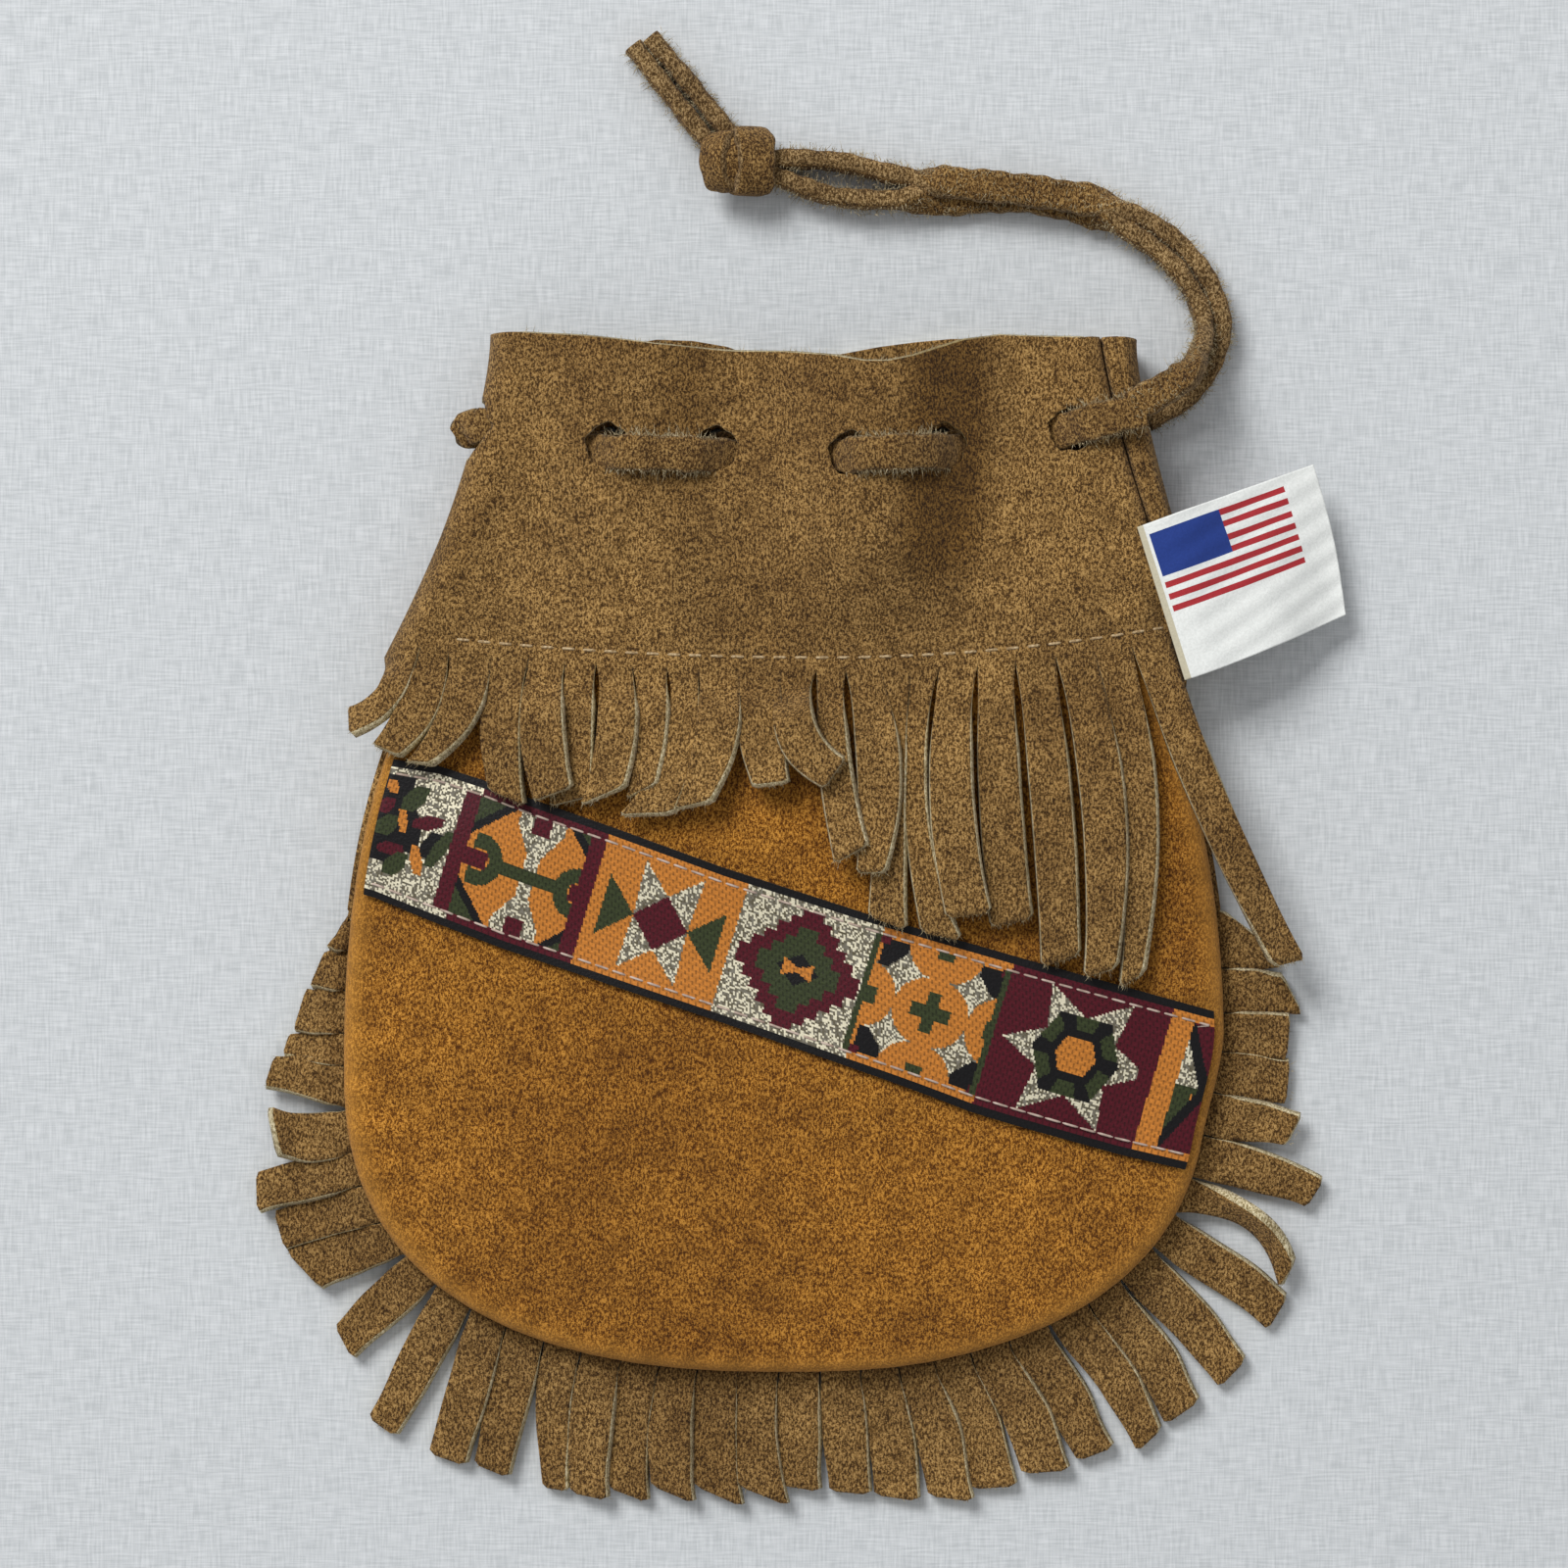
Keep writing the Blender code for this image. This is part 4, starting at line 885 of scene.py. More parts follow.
# %% Columns round the band, so that each strip's root falls on its own columns
root_right = FRONT_STRIPS[::-1, 0] * MM
seam_start = float(seam_x(YOKE_ROOT)) - SEAM_GAP / 2 - HALF - 2 * SEAM_TURN
fold_end = float(fold_x(YOKE_ROOT)) + FOLD_RADIUS
root_edges = np.concatenate([[seam_start], root_right[1:-1], [fold_end]])
strip_columns = [
    np.linspace(a, b, ACROSS, endpoint=False) for a, b in zip(root_edges[:-1], root_edges[1:])
]
front_x = np.concatenate(strip_columns + [[fold_end]])
section = (
    ("flap", np.linspace(0, 1, 5)),
    ("turn", np.linspace(0, 1, 7)[1:-1]),
    ("front", (seam_start - front_x) / (seam_start - fold_end)),
    ("fold", np.linspace(0, 1, FOLD_STEPS + 1)[1:-1]),
    ("back", np.linspace(0, 1, BACK_STEPS * 4 + 1)),
    ("under", np.linspace(0, 1, 8)[1:]),
    ("over", np.linspace(0, 1, 9)[1:-1]),
    ("tuck", np.linspace(1, 0, 6)),
    ("tail", np.linspace(0, 1, 4)[1:]),
)
groups, column = {}, 0
for part, shares in section:
    groups[part] = (np.arange(column, column + len(shares)), shares[None, :])
    column += len(shares)
band_columns = column
first_front = groups["front"][0][0]
print("columns round the band:", band_columns)


# %% The band's levels and its strips
def band_levels():
    """How high each point of the band is: from its own root to its own mouth level."""
    at_root = band_surface(np.full((1, band_columns), YOKE_ROOT), groups)[0]
    at_mouth = band_surface(np.full((1, band_columns), YOKE_TOP), groups)[0]
    root = stitch_level(at_root[:, 0]) - STITCH_TO_SLIT
    mouth = np.interp(at_mouth[:, 0], MOUTH_X, MOUTH_Y)
    back = groups["back"][0]
    root[back] = YOKE_ROOT
    mouth[back] = np.interp(at_mouth[back, 0], BACK_MOUTH_X, BACK_MOUTH_Y)
    last = groups["front"][0][-1]
    side = np.concatenate([groups["under"][0], groups["over"][0]])
    for where, low, high in ((groups["fold"][0], last, back[0]), (side, back[-1], first_front)):
        share = smooth(np.linspace(0, 1, len(where) + 2)[1:-1])
        root[where] = root[low] + (root[high] - root[low]) * share
        mouth[where] = mouth[low] + (mouth[high] - mouth[low]) * share
    for name in ("tuck", "tail"):
        root[groups[name][0]], mouth[groups[name][0]] = root[first_front], mouth[first_front]
    share = np.linspace(0, 1, NECK_STEPS)[:, None]
    return root + (mouth - root) * share


def through(y0, y1, y2, at, t):
    """A value that is y0 at 0, y1 at the place at, and y2 at 1, on one parabola."""
    first = (y1 - y0) / at
    bend = (y2 - y1) / (1 - at) - first
    return y0 + first * t + bend * t * (t - at)


def front_strip(root, numbers):
    """One strip below its root points. Its width is shared out between two curved
    edges. It settles from the root onto the body, and lifts and curls as listed."""
    rise, curl = numbers[9:11] * MM
    t = np.linspace(0, 1, STRIP_STEPS + 1)[1:, None]
    u = np.linspace(0, 1, len(root))[None, :]
    sides = []
    for end, (middle, tip) in zip((root[-1], root[0]), numbers[1:9].reshape(2, 2, 2) * MM):
        at = math.dist(end[:2], middle)
        at = at / (at + math.dist(middle, tip))
        sides.append([through(end[k], middle[k], tip[k], at, t) for k in (0, 1)])
    (lx, ly), (rx, ry) = sides
    own = (root[:, 0] - root[0, 0]) / (root[-1, 0] - root[0, 0])
    w = own + (u - own) * smooth(t * 3)
    spread = SIDE_SPREAD * smooth((t - 0.1) / 0.3) * (1 - smooth((t - 0.6) / 0.4))
    spread = (spread - STRIP_GAP / 2 * smooth(t * 8)) / np.hypot(lx - rx, ly - ry)
    wide = -spread + (1 + 2 * spread) * w
    x, y = rx + (lx - rx) * wide, ry + (ly - ry) * wide
    below = stitch_level(x) - STITCH_TO_SLIT - y
    settled = cover_level(x, y) + LAYER + (RIBBON_THICK + CLEARANCE) * smooth(below / 0.006)
    cup = EDGE_CURL * np.where(w < 0.5, 1.0, 0.6) * (2 * w - 1) ** 4
    shingle = STRIP_ROLL * (1 - 2 * w) * smooth(t * 3)
    settled = settled + rise * smooth(t * 2.2) + curl * t**4 + cup * smooth(t * 3) + shingle
    z = root[:, 2] + (settled - root[:, 2]) * smooth(t * 2.5)
    return blunt(np.stack([x, y, z], 2))


band = band_surface(band_levels(), groups)
front_columns = groups["front"][0]
band[-1, front_columns, 2] += MOUTH_FLARE
band[-2, front_columns, 2] += MOUTH_FLARE / 4
neck = Gathered()
root_ids = neck.add(band)[0]
tips = [band[[-2, -1]][:, front_columns[::4]]]


def hang(strip, where):
    """Hangs a strip, tip last, from the band's root points in these columns."""
    neck.add(strip, root_ids[where])
    tips.append(strip[[-2, -1]])


for number, row in enumerate(FRONT_STRIPS[:0:-1]):
    low = first_front + number * ACROSS
    where = np.arange(low, low + ACROSS + 1)
    hang(front_strip(band[0, where], row), where)
where = np.arange(front_columns[-1], groups["fold"][0][0] + ACROSS)
hang(front_strip(band[0, where], FRONT_STRIPS[0]), where)
BACK_STRIPS = 18
back_columns = groups["back"][0]
for number in range(BACK_STRIPS):
    where = back_columns[number * ACROSS: (number + 1) * ACROSS + 1]
    root_x = band[0, where, 0]
    t = np.linspace(0, 1, 15)[1:, None]
    centre = root_x.mean()
    x = centre + (root_x - centre) * (1 - 0.08 * smooth(t * 4))
    hang(np.stack([x, YOKE_ROOT - BACK_DROP * t + 0 * x, HALF + 0 * x], 2), where)
neck_faces = np.concatenate(neck.quads)
yoke = mesh_piece("neck_band_suede", np.concatenate(neck.parts), neck_faces, taupe, cut_edge)
thicken(yoke, SUEDE)
print("band points:", neck.total)

# %% Punch the holes
HOLES = np.array([(-25.0, 88.6), (-9.7, 88.3), (9.4, 87.2), (22.7, 88.5), (40.7, 90.9)]) * MM
LACE_Y_AT = np.array([-50.0, -43.0, -25.6, -9.4, 9.0, 23.1, 40.4, 47.0, 54.0]) * MM
LACE_Y = np.array([92.2, 91.6, 87.5, 87.2, 86.9, 87.6, 91.0, 92.6, 94.2]) * MM
FOLD_HOLE = (0.0044, 0.0032)
PUNCH_LENGTH = 0.06
BARREL_SIDES = 40


def lace_y(x):
    """How high up the band the lace runs: it sags between its holes."""
    return np.interp(x, LACE_Y_AT, LACE_Y)


def punch(name, points, faces):
    """Cuts a hole with a closed shape, and leaves the pale finish in it."""
    cutter = mesh_piece(name, points, faces, taupe, cut_edge)
    cutter.data.polygons.foreach_set("material_index", np.ones(len(cutter.data.polygons), np.int32))
    cut = yoke.modifiers.new(name, "BOOLEAN")
    cut.operation = "DIFFERENCE"
    cut.solver = "EXACT"
    cut.object = cutter
    return cutter


def barrel(centre, axis, across, radius_a, radius_b, length):
    """A closed rounded tube: rings of points round an axis, pinched shut at both ends."""
    turn = np.linspace(0, 2 * math.pi, BARREL_SIDES, endpoint=False)[None, :]
    along = np.array([-1.0, -1.0, 1.0, 1.0])[:, None]
    size = np.array([0.02, 1.0, 1.0, 0.02])[:, None]
    axis, across = np.array(axis, float), np.array(across, float)
    third = np.cross(axis, across)
    rough = 1 + 0.05 * np.sin(5 * turn) + 0.03 * np.sin(9 * turn + 1.0)
    points = (
        np.array(centre) + (along * length / 2)[..., None] * axis
        + (size * radius_a * rough * np.cos(turn))[..., None] * across
        + (size * radius_b * rough * np.sin(turn))[..., None] * third
    )
    return points.reshape(-1, 3), tube_faces(len(points), BARREL_SIDES)


cutters = []
for number, (x, y) in enumerate(HOLES):
    shape = barrel((x, y, 0.0), (0, 0, 1), (1, 0, 0), HOLE_DIAMETER / 2, HOLE_DIAMETER / 2, PUNCH_LENGTH)
    cutters.append(punch(f"punch_{number}", *shape))
fold_y = 0.0912
fold_top = float(yoke_level(fold_x(fold_y) + FOLD_RADIUS, fold_y))
fold_centre = float(fold_x(fold_y)), fold_y, (fold_top + float(back_level(fold_y))) / 2
shape = barrel(fold_centre, (1, 0, 0), (0, 1, 0), *FOLD_HOLE, 2 * FOLD_RADIUS)
cutters.append(punch("punch_fold", *shape))
freeze(yoke)
for cutter in cutters:
    bpy.data.objects.remove(cutter, do_unlink=True)
yoke_points = np.empty(3 * len(yoke.data.vertices))
yoke.data.vertices.foreach_get("co", yoke_points)
yoke_x, yoke_y, yoke_z = yoke_points.reshape(-1, 3).T
# Painted shade on the band's front layer, on the side of each fold that falls to the right.
share_of(yoke, "painted_fold_shade", fold_shade_share(yoke_x, yoke_y) * smooth((yoke_z - back_level(yoke_y)) / 0.003))
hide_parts("yoke_band")
print("band faces after punching:", len(yoke.data.polygons))

# %% [markdown]
# ## The drawstring
#
# The drawstring is a suede lace, 5 mm wide and 2 mm thick. It runs inside the
# neck, comes out between each pair of holes, and shows as a loop at the left
# fold. Both ends leave at the right and run side by side to the knot, mostly on
# edge, and they have curled to 4.6 mm wide and 2.7 mm thick. A lace is one flat
# rounded section carried along a path, with one angle that says how far it has
# turned from lying flat to standing on edge.


# %% A lace along a path
LACE_SIDES = 20


def smooth_line(points, count):
    """Evenly spaced places on a smooth curve through the points: four neighbouring
    points give each stretch a cubic that meets the next with the same slope."""
    points = np.asarray(points, float)
    padded = np.vstack([2 * points[0] - points[1], points, 2 * points[-1] - points[-2]])
    a, b, c, d = padded[:-3, None], padded[1:-2, None], padded[2:-1, None], padded[3:, None]
    t = np.linspace(0, 1, 24, endpoint=False)[None, :, None]
    dense = 0.5 * (2 * b + (c - a) * t + (2 * a - 5 * b + 4 * c - d) * t**2
                   + (3 * b - a - 3 * c + d) * t**3)
    dense = np.vstack([dense.reshape(-1, points.shape[1]), points[-1]])
    length = distance_along(dense)
    at = np.linspace(0, length[-1], count)
    return np.stack([np.interp(at, length, dense[:, k]) for k in range(points.shape[1])], 1)


def lace_frame(path, turned):
    """Directions along a lace's width and its thickness at each point of its path."""
    step = np.gradient(path, axis=0)
    step /= np.linalg.norm(step, axis=1)[:, None]
    flat = np.cross(step, [0.0, 0.0, 1.0])
    size = np.linalg.norm(flat, axis=1)[:, None]
    flat = np.where(size > 0.05, flat / np.maximum(size, 1e-9), [0.0, 1.0, 0.0])
    up = np.cross(flat, step)
    wide = flat * np.cos(turned)[:, None] + up * np.sin(turned)[:, None]
    return wide, np.cross(wide, step)


def lace_mesh(name, path, turned, width, thick, seed=1):
    """A flat lace: a rounded oblong section square to the path at each of its points.
    turned is the angle of the width from level, one for each point. Slow waves make
    the cut edges uneven. Both ends are closed."""
    wide, deep = lace_frame(path, turned)
    angle = np.linspace(0, 2 * math.pi, LACE_SIDES, endpoint=False)
    c, s = np.cos(angle), np.sin(angle)
    section_w = np.sign(c) * np.abs(c) ** 0.55 * width / 2
    section_d = np.sign(s) * np.abs(s) ** 0.55 * thick / 2
    along = np.cumsum(np.linalg.norm(np.gradient(path, axis=0), axis=1))[:, None]
    uneven = 1 + 0.05 * np.sin(along * 900 + seed) + 0.04 * np.sin(along * 2100 + 3 * seed + 2 * angle)
    ends = np.ones(len(path))
    ends[[0, -1]] = 0.05
    scale = (uneven * ends[:, None])[..., None]
    path = path.copy()
    path[0], path[-1] = path[1], path[-2]
    points = path[:, None] + scale * (section_w[:, None] * wide[:, None] + section_d[:, None] * deep[:, None])
    faces = tube_faces(len(path), LACE_SIDES)[:, ::-1]
    piece = mesh_piece(name, points.reshape(-1, 3), faces, lace_suede, lace_edge)
    on_edge = np.abs(np.cos(angle + math.pi / LACE_SIDES)) > 0.75
    piece.data.polygons.foreach_set("material_index", np.tile(on_edge, len(path) - 1).astype(np.int32))
    return piece


# %% Threaded lace
HOLE_PASS = 0.0030
FOLD_LOOP = 0.0014


def lace_height(x, y, front):
    """The lace's height: outside between the holes of a pair, inside elsewhere."""
    layer = yoke_level(x, y) if front else back_level(y)
    outward = 1.0 if front else -1.0
    level = -np.ones_like(x)
    for number, hole in enumerate(HOLES[:, 0]):
        turn = 2 * smooth((x - hole + HOLE_PASS) / (2 * HOLE_PASS))
        level = level + (turn if number % 2 == 0 else -turn)
    return layer + outward * PASS * level


x = np.linspace(float(wrap_x(0.0936)) + 0.0004, float(fold_x(0.0916)) + 0.0042, 220)
over = np.stack([x, lace_y(x), lace_height(x, lace_y(x), True)], 1)
back_y = LACE_LEVEL + 0 * x[::-1]
under = np.stack([x[::-1], back_y, lace_height(x[::-1], back_y, False)], 1)
loop_x = float(fold_x(fold_y)) - HALF
middle_z = fold_centre[2]
turn = np.radians(np.linspace(80, 280, 15))
bulge = 0.0018
loop = np.stack([
    loop_x - FOLD_LOOP + bulge + LACE_THICK / 2 + bulge * 1.3 * np.cos(turn),
    fold_y + 0.0006 - 0.0003 * (turn - turn[0]), middle_z + bulge * np.sin(turn),
], 1)
route = smooth_line(np.vstack([over[:-6:3], loop, under[6::6]]), 520)
threaded = lace_mesh("lace_threaded_suede", route, np.zeros(len(route)), LACE_WIDTH, LACE_THICK)
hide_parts("lace_threaded")
print("lace in the band, length in mm:", round(distance_along(route)[-1] / MM, 1))

# %% [markdown]
# Each free end is one lace from the band, through the knot, to its cut tip.

# %% Free strands and their knot
PAIR_ROUTE = np.array([
    (0.0530, 0.0926), (0.0570, 0.0970), (0.0600, 0.1010), (0.0615, 0.1055), (0.0605, 0.1105),
    (0.0573, 0.1155), (0.0525, 0.1196), (0.0465, 0.1228), (0.0400, 0.1247), (0.0330, 0.1257),
    (0.0250, 0.1258), (0.0160, 0.1262), (0.0075, 0.1274), (-0.0005, 0.1290),
])
KNOT_CENTRE = (-0.0062, 0.1296)
KNOT_LEVEL = 0.0045
STRAND_SPACING = 0.0027
STRAND_WIDTH = 0.0046
STRAND_THICK = 0.0027
TURN_THICK = 0.0021
RESTING = STRAND_WIDTH / 2 + 0.0003
LOWER_LACE = STRAND_THICK / 2 + 0.0002
UPPER_LACE = LOWER_LACE + STRAND_THICK
# Each strand: its name, its tail's, its side of the route, where it leaves the band in y
# and past the band's side, how close it comes to the other, its level where it lies, its tip
STRANDS = (
    ("lace_strand_front", "lace_tail_1", 1, 0.0934, -0.0026, (0.8, 0.45, 0.45, 0.8), LOWER_LACE,
     (-0.0219, 0.1468)),
    ("lace_strand_back", "lace_tail_2", -1, 0.0922, 0.0006, (0.6, 0.1, 0.1, 0.6), UPPER_LACE,
     (-0.0195, 0.1480)),
)
# Each turn of the knot: its name, its shift along the strands, radius, lean and width
KNOT_TURNS = (
    ("lace_knot_over", 0.0013, 0.0036, 0.0010, 0.0056),
    ("lace_knot_under", -0.0021, 0.0031, -0.0018, 0.0044),
    ("lace_knot_inner", -0.0006, 0.0029, 0.0004, 0.0046),
)


def free_strand(side, leaving_y, past_side, closeness, lying_level, tip):
    """One strand's path and turning. The front one leaves the band flat and soon stands
    on edge, as the back one does from the start. They run side by side, lie flat with
    the back one on top for a stretch, then go through the knot and out to their tips."""
    plan = PAIR_ROUTE
    step = np.gradient(plan, axis=0)
    step /= np.linalg.norm(step, axis=1)[:, None]
    square = np.stack([-step[:, 1], step[:, 0]], 1)
    apart = np.full(len(plan), STRAND_SPACING / 2)
    apart[-4:-1] = STRAND_SPACING * np.array([0.52, 0.66, 0.92])
    apart[7:11] *= closeness
    plan = plan + square * (side * apart)[:, None]
    start = np.array([[float(wrap_x(leaving_y)) + past_side, leaving_y]])
    leaving_z = float(lace_height(wrap_x(leaving_y), leaving_y, True)) if side > 0 else RESTING
    tip, knot = np.array(tip), np.array(KNOT_CENTRE)
    way = (tip - knot) / np.linalg.norm(tip - knot)
    off = np.array([-way[1], way[0]]) * side * STRAND_SPACING / 2
    inside = knot + np.array([0.0022, 0.0]) + off * 0.7
    leaving_knot = knot + way * 0.0045 + off * 0.9
    halfway = (leaving_knot + tip) / 2 + off * 0.1
    plan = np.vstack([start, plan[1:], inside, leaving_knot, halfway, tip])
    level = np.full(len(plan), RESTING)
    level[:5] = RESTING + (leaving_z - RESTING) * np.array([1.0, 0.88, 0.5, 0.15, 0.0])
    level[-4:-2] = RESTING + 0.0004
    path = smooth_line(np.column_stack([plan, level]), 260)
    share = np.linspace(0, 1, len(path))
    lying = smooth((share - 0.34) / 0.07) * (1 - smooth((share - 0.55) / 0.07))
    path[:, 2] += lying * (lying_level - RESTING)
    on_edge = smooth((share - 0.03) / 0.12) if side > 0 else np.ones(len(path))
    turned = math.pi / 2 * on_edge * (1 - lying) * side
    reach = STRAND_WIDTH * np.abs(np.sin(turned)) + STRAND_THICK * np.abs(np.cos(turned))
    path[:, 2] = np.maximum(path[:, 2], 0.55 * reach + 0.0001)
    return path, turned


def knot_turn(name, shift, radius, lean, width):
    """One turn of lace round the knot: a flattened ring, tilted, which starts and
    ends inside the lump so that neither end shows."""
    angle = np.radians(np.linspace(-200, 190, 60))
    grip = radius * (1 - 0.25 * smooth((np.abs(angle) - 2.6) / 0.8))
    x = KNOT_CENTRE[0] + shift + lean * np.sin(angle)
    y = KNOT_CENTRE[1] + grip * np.cos(angle) * 1.15
    z = KNOT_LEVEL + grip * np.sin(angle) * 0.72
    path = np.stack([x, y, z], 1)
    out = path - np.array([KNOT_CENTRE[0] + shift, KNOT_CENTRE[1], KNOT_LEVEL])
    flat, up = lace_frame(path, np.zeros(len(path)))
    flat_angle = np.arctan2((flat * out).sum(1), -(up * out).sum(1))
    return lace_mesh(name, path, np.unwrap(flat_angle), width, TURN_THICK)


strands = []
for name, tail, side, *numbers in STRANDS:
    path, turned = free_strand(side, *numbers)
    strand = lace_mesh(name + "_suede", path, turned, STRAND_WIDTH, STRAND_THICK, seed=3 + side)
    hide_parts(name, tail)
    strands.append((name, strand, path, turned))
knot_pieces = [knot_turn(*numbers) for numbers in KNOT_TURNS]
for turn in knot_pieces:
    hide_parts("lace_knot")

# %% [markdown]
# ## The woven ribbon
#
# The ribbon is a jacquard tape: every thread crossing shows one of a few yarn
# colours. So its surface is a grid with one small face for each crossing, and
# the pattern is a function that gives each crossing its yarn. The motifs are
# plain geometry in millimetres from each motif's middle: diamonds are where
# two distances add up to less than a limit, and stars are sets of triangles.

# %% The ribbon's place and its threads
RIBBON_WIDTH = 21.5
THREAD = 0.27
UPPER_X = np.array([-60.0, -57.5, -49.1, -42.8, -36.1, -24.1, -8.4, 11.8, 35.1, 61.0]) * MM
UPPER_Y = np.array([44.6, 44.4, 43.2, 41.2, 38.6, 34.4, 28.7, 22.2, 15.5, 8.3]) * MM
LOWER_X = np.array([-60.0, -58.0, -51.2, -39.8, -21.0, -8.4, 10.0, 28.0, 49.8, 60.0]) * MM
LOWER_Y = np.array([25.0, 24.4, 21.6, 17.2, 10.9, 6.7, 0.3, -5.8, -12.0, -14.4]) * MM
BLACK, BURGUNDY, ORANGE, OLIVE, GLITTER = range(5)
YARNS = np.array([
    srgb(13, 11, 13), srgb(80, 11, 26), srgb(196, 122, 46), srgb(52, 60, 32), srgb(150, 140, 110),
])[:, :3]
SELVEDGE = 1.15
BORDER = 2.3


def layered(yarn, *layers):
    """A ground yarn with others laid over it: each layer is where it lies and its yarn."""
    for where, over in layers:
        yarn = np.where(where, over, yarn)
    return yarn


def triangle(p, q, a, b, c):
    """True inside a triangle: the point is on the same side of all three edges."""
    def side(m, n):
        return (n[0] - m[0]) * (q - m[1]) - (n[1] - m[1]) * (p - m[0])
    d1, d2, d3 = side(a, b), side(b, c), side(c, a)
    return ((d1 >= 0) & (d2 >= 0) & (d3 >= 0)) | ((d1 <= 0) & (d2 <= 0) & (d3 <= 0))


# For each shard: its yarn, its middle p and q, its half width, its half height, its lean
SHARDS = (
    (BLACK, -6.2, 2.0, 2.4, 6.8, 0.0),
    (BLACK, -3.6, 1.4, 1.7, 3.8, -0.3),
    (BURGUNDY, -7.2, 3.8, 0.9, 1.3, 0.3),
    (OLIVE, -6.4, 0.9, 1.2, 1.7, 0.3),
    (ORANGE, -4.4, 2.1, 0.6, 1.6, -0.3),
    (OLIVE, -3.6, 5.6, 1.3, 1.9, 0.35),
    (ORANGE, -7.1, 6.8, 0.7, 1.0, -0.3),
    (BURGUNDY, -5.0, -2.4, 1.6, 0.9, 0.5),
    (OLIVE, -3.8, -4.6, 1.2, 1.9, 0.35),
    (BURGUNDY, -0.8, 2.6, 1.7, 1.1, 0.8),
    (BLACK, 0.3, -0.4, 1.0, 1.9, 0.3),
    (OLIVE, 1.8, -0.6, 0.9, 2.8, 0.35),
    (ORANGE, -1.0, -3.0, 0.75, 2.1, -0.35),
)


def shards(p, q):
    """Leaning shards in four yarns, on black at the ribbon's end and on glitter."""
    picture = np.full(p.shape, GLITTER)
    for yarn, middle_p, middle_q, wide, high, lean in SHARDS:
        off = np.abs(q - middle_q)
        tapered = wide * (1.25 - 0.5 * off / high)
        here = (np.abs(p - middle_p - lean * (q - middle_q)) < tapered) & (off < high)
        picture = np.where(here, yarn, picture)
    return picture


def hooked_cross(p, q):
    """An orange octagon with a hooked green bar along it and glitter above and below."""
    ap, aq = np.abs(p), np.abs(q)
    arms = (ap < 1.0 + 0.60 * np.clip(aq - 3.0, 0, None)) & ((aq > 1.0) | (ap < 1.0))
    arms &= ~((aq > 5.4) & (ap > 3.4))
    ring = np.hypot(ap - 7.4, q * 0.95)
    hook = (ring < 3.5) & (ring > 1.5) & (ap < 8.6)
    return layered(
        ORANGE,
        (ap + aq > 12.6, BLACK),
        (ap + aq > 14.2, OLIVE),
        (arms, GLITTER),
        ((ap < 1.3) & (aq > 6.0), BURGUNDY),
        (((aq < 0.9) & (ap < 5.2)) | hook, OLIVE),
        ((ap > 6.2) & (aq < 1.2), BURGUNDY),
    )


def diamond_star(p, q):
    """A burgundy diamond, a glitter triangle on each of its edges, green ones beside."""
    ap, aq = np.abs(p), np.abs(q)
    return layered(
        ORANGE,
        (triangle(ap, aq, (4.0, 0.0), (0.0, 4.0), (4.4, 8.1)), GLITTER),
        (triangle(ap, q, (4.0, 0.0), (8.7, 4.5), (8.7, -4.5)), OLIVE),
        (ap + aq < 4.1, BURGUNDY),
    )


def stepped_diamond(p, q):
    """Two stepped diamonds, one inside the other, with a bow tie in the middle."""
    step = 1.5
    ap, aq = np.abs(p), np.abs(q)
    steps = np.floor(ap / step) * step + np.floor(aq / step) * step
    bow = (ap < 2.2) & (aq < 0.3 + 0.45 * ap)
    return layered(
        GLITTER,
        (steps < 8.2, BURGUNDY),
        (steps < 5.6, OLIVE),
        (aq + 0.75 * ap < 2.4, BLACK),
        (bow, ORANGE),
    )


def crossed_corners(p, q):
    """A green cross on orange, with glitter and black arrowheads to the corners."""
    ap, aq = np.abs(p), np.abs(q)
    return layered(
        ORANGE,
        (np.abs(ap - 5.4) ** 0.6 + np.abs(aq - 4.6) ** 0.6 < 2.35, GLITTER),
        ((np.abs(ap - 7.2) < 1.9) & (np.abs(aq - 6.4) < 1.9) & (ap + aq > 12.2), BLACK),
        ((ap > 8.2) & (aq > 7.6), BURGUNDY),
        ((np.minimum(ap, aq) < 0.9) & (np.maximum(ap, aq) < 2.9), OLIVE),
        (((ap > 8.0) & (aq < 1.2)) | ((aq > 7.6) & (ap < 1.2)), OLIVE),
    )


def six_point_star(p, q):
    """A glitter star of six long triangles round a six-sided ring."""
    points = False
    for tip in ((10.8, 0.0), (6.0, 8.6), (-6.0, 8.6), (-10.8, 0.0), (-6.0, -8.6), (6.0, -8.6)):
        long = math.hypot(*tip)
        along = (p * tip[0] + q * tip[1]) / long
        beside = np.abs(p * tip[1] - q * tip[0]) / long
        points = points | ((along > 0) & (beside < 5.0 * (1 - along / long)))
    six = np.maximum(np.abs(q) / 5.2, (np.abs(p) + 0.5 * np.abs(q)) / 6.4)
    turn = np.degrees(np.arctan2(q, p)) % 60
    return layered(
        BURGUNDY,
        (points, GLITTER),
        (six < 1, BLACK),
        ((six < 1) & (turn > 8) & (turn < 46), OLIVE),
        (six < 0.66, BLACK),
        (six < 0.47, ORANGE),
    )


def end_zigzag(p, q):
    """An orange stripe, then black and burgundy chevrons over green and glitter."""
    fold = p + 0.55 * np.abs(q)
    return layered(
        OLIVE,
        (q > 0, GLITTER),
        (triangle(p, q, (0.5, -0.5), (3.4, -6.0), (0.5, -6.0)), ORANGE),
        (triangle(p, q, (1.2, 4.6), (4.4, 4.8), (1.4, 1.2)), ORANGE),
        ((fold > 1.4) & (fold < 3.0), BLACK),
        (fold >= 3.0, BURGUNDY),
        (p < -2.0, ORANGE),
    )


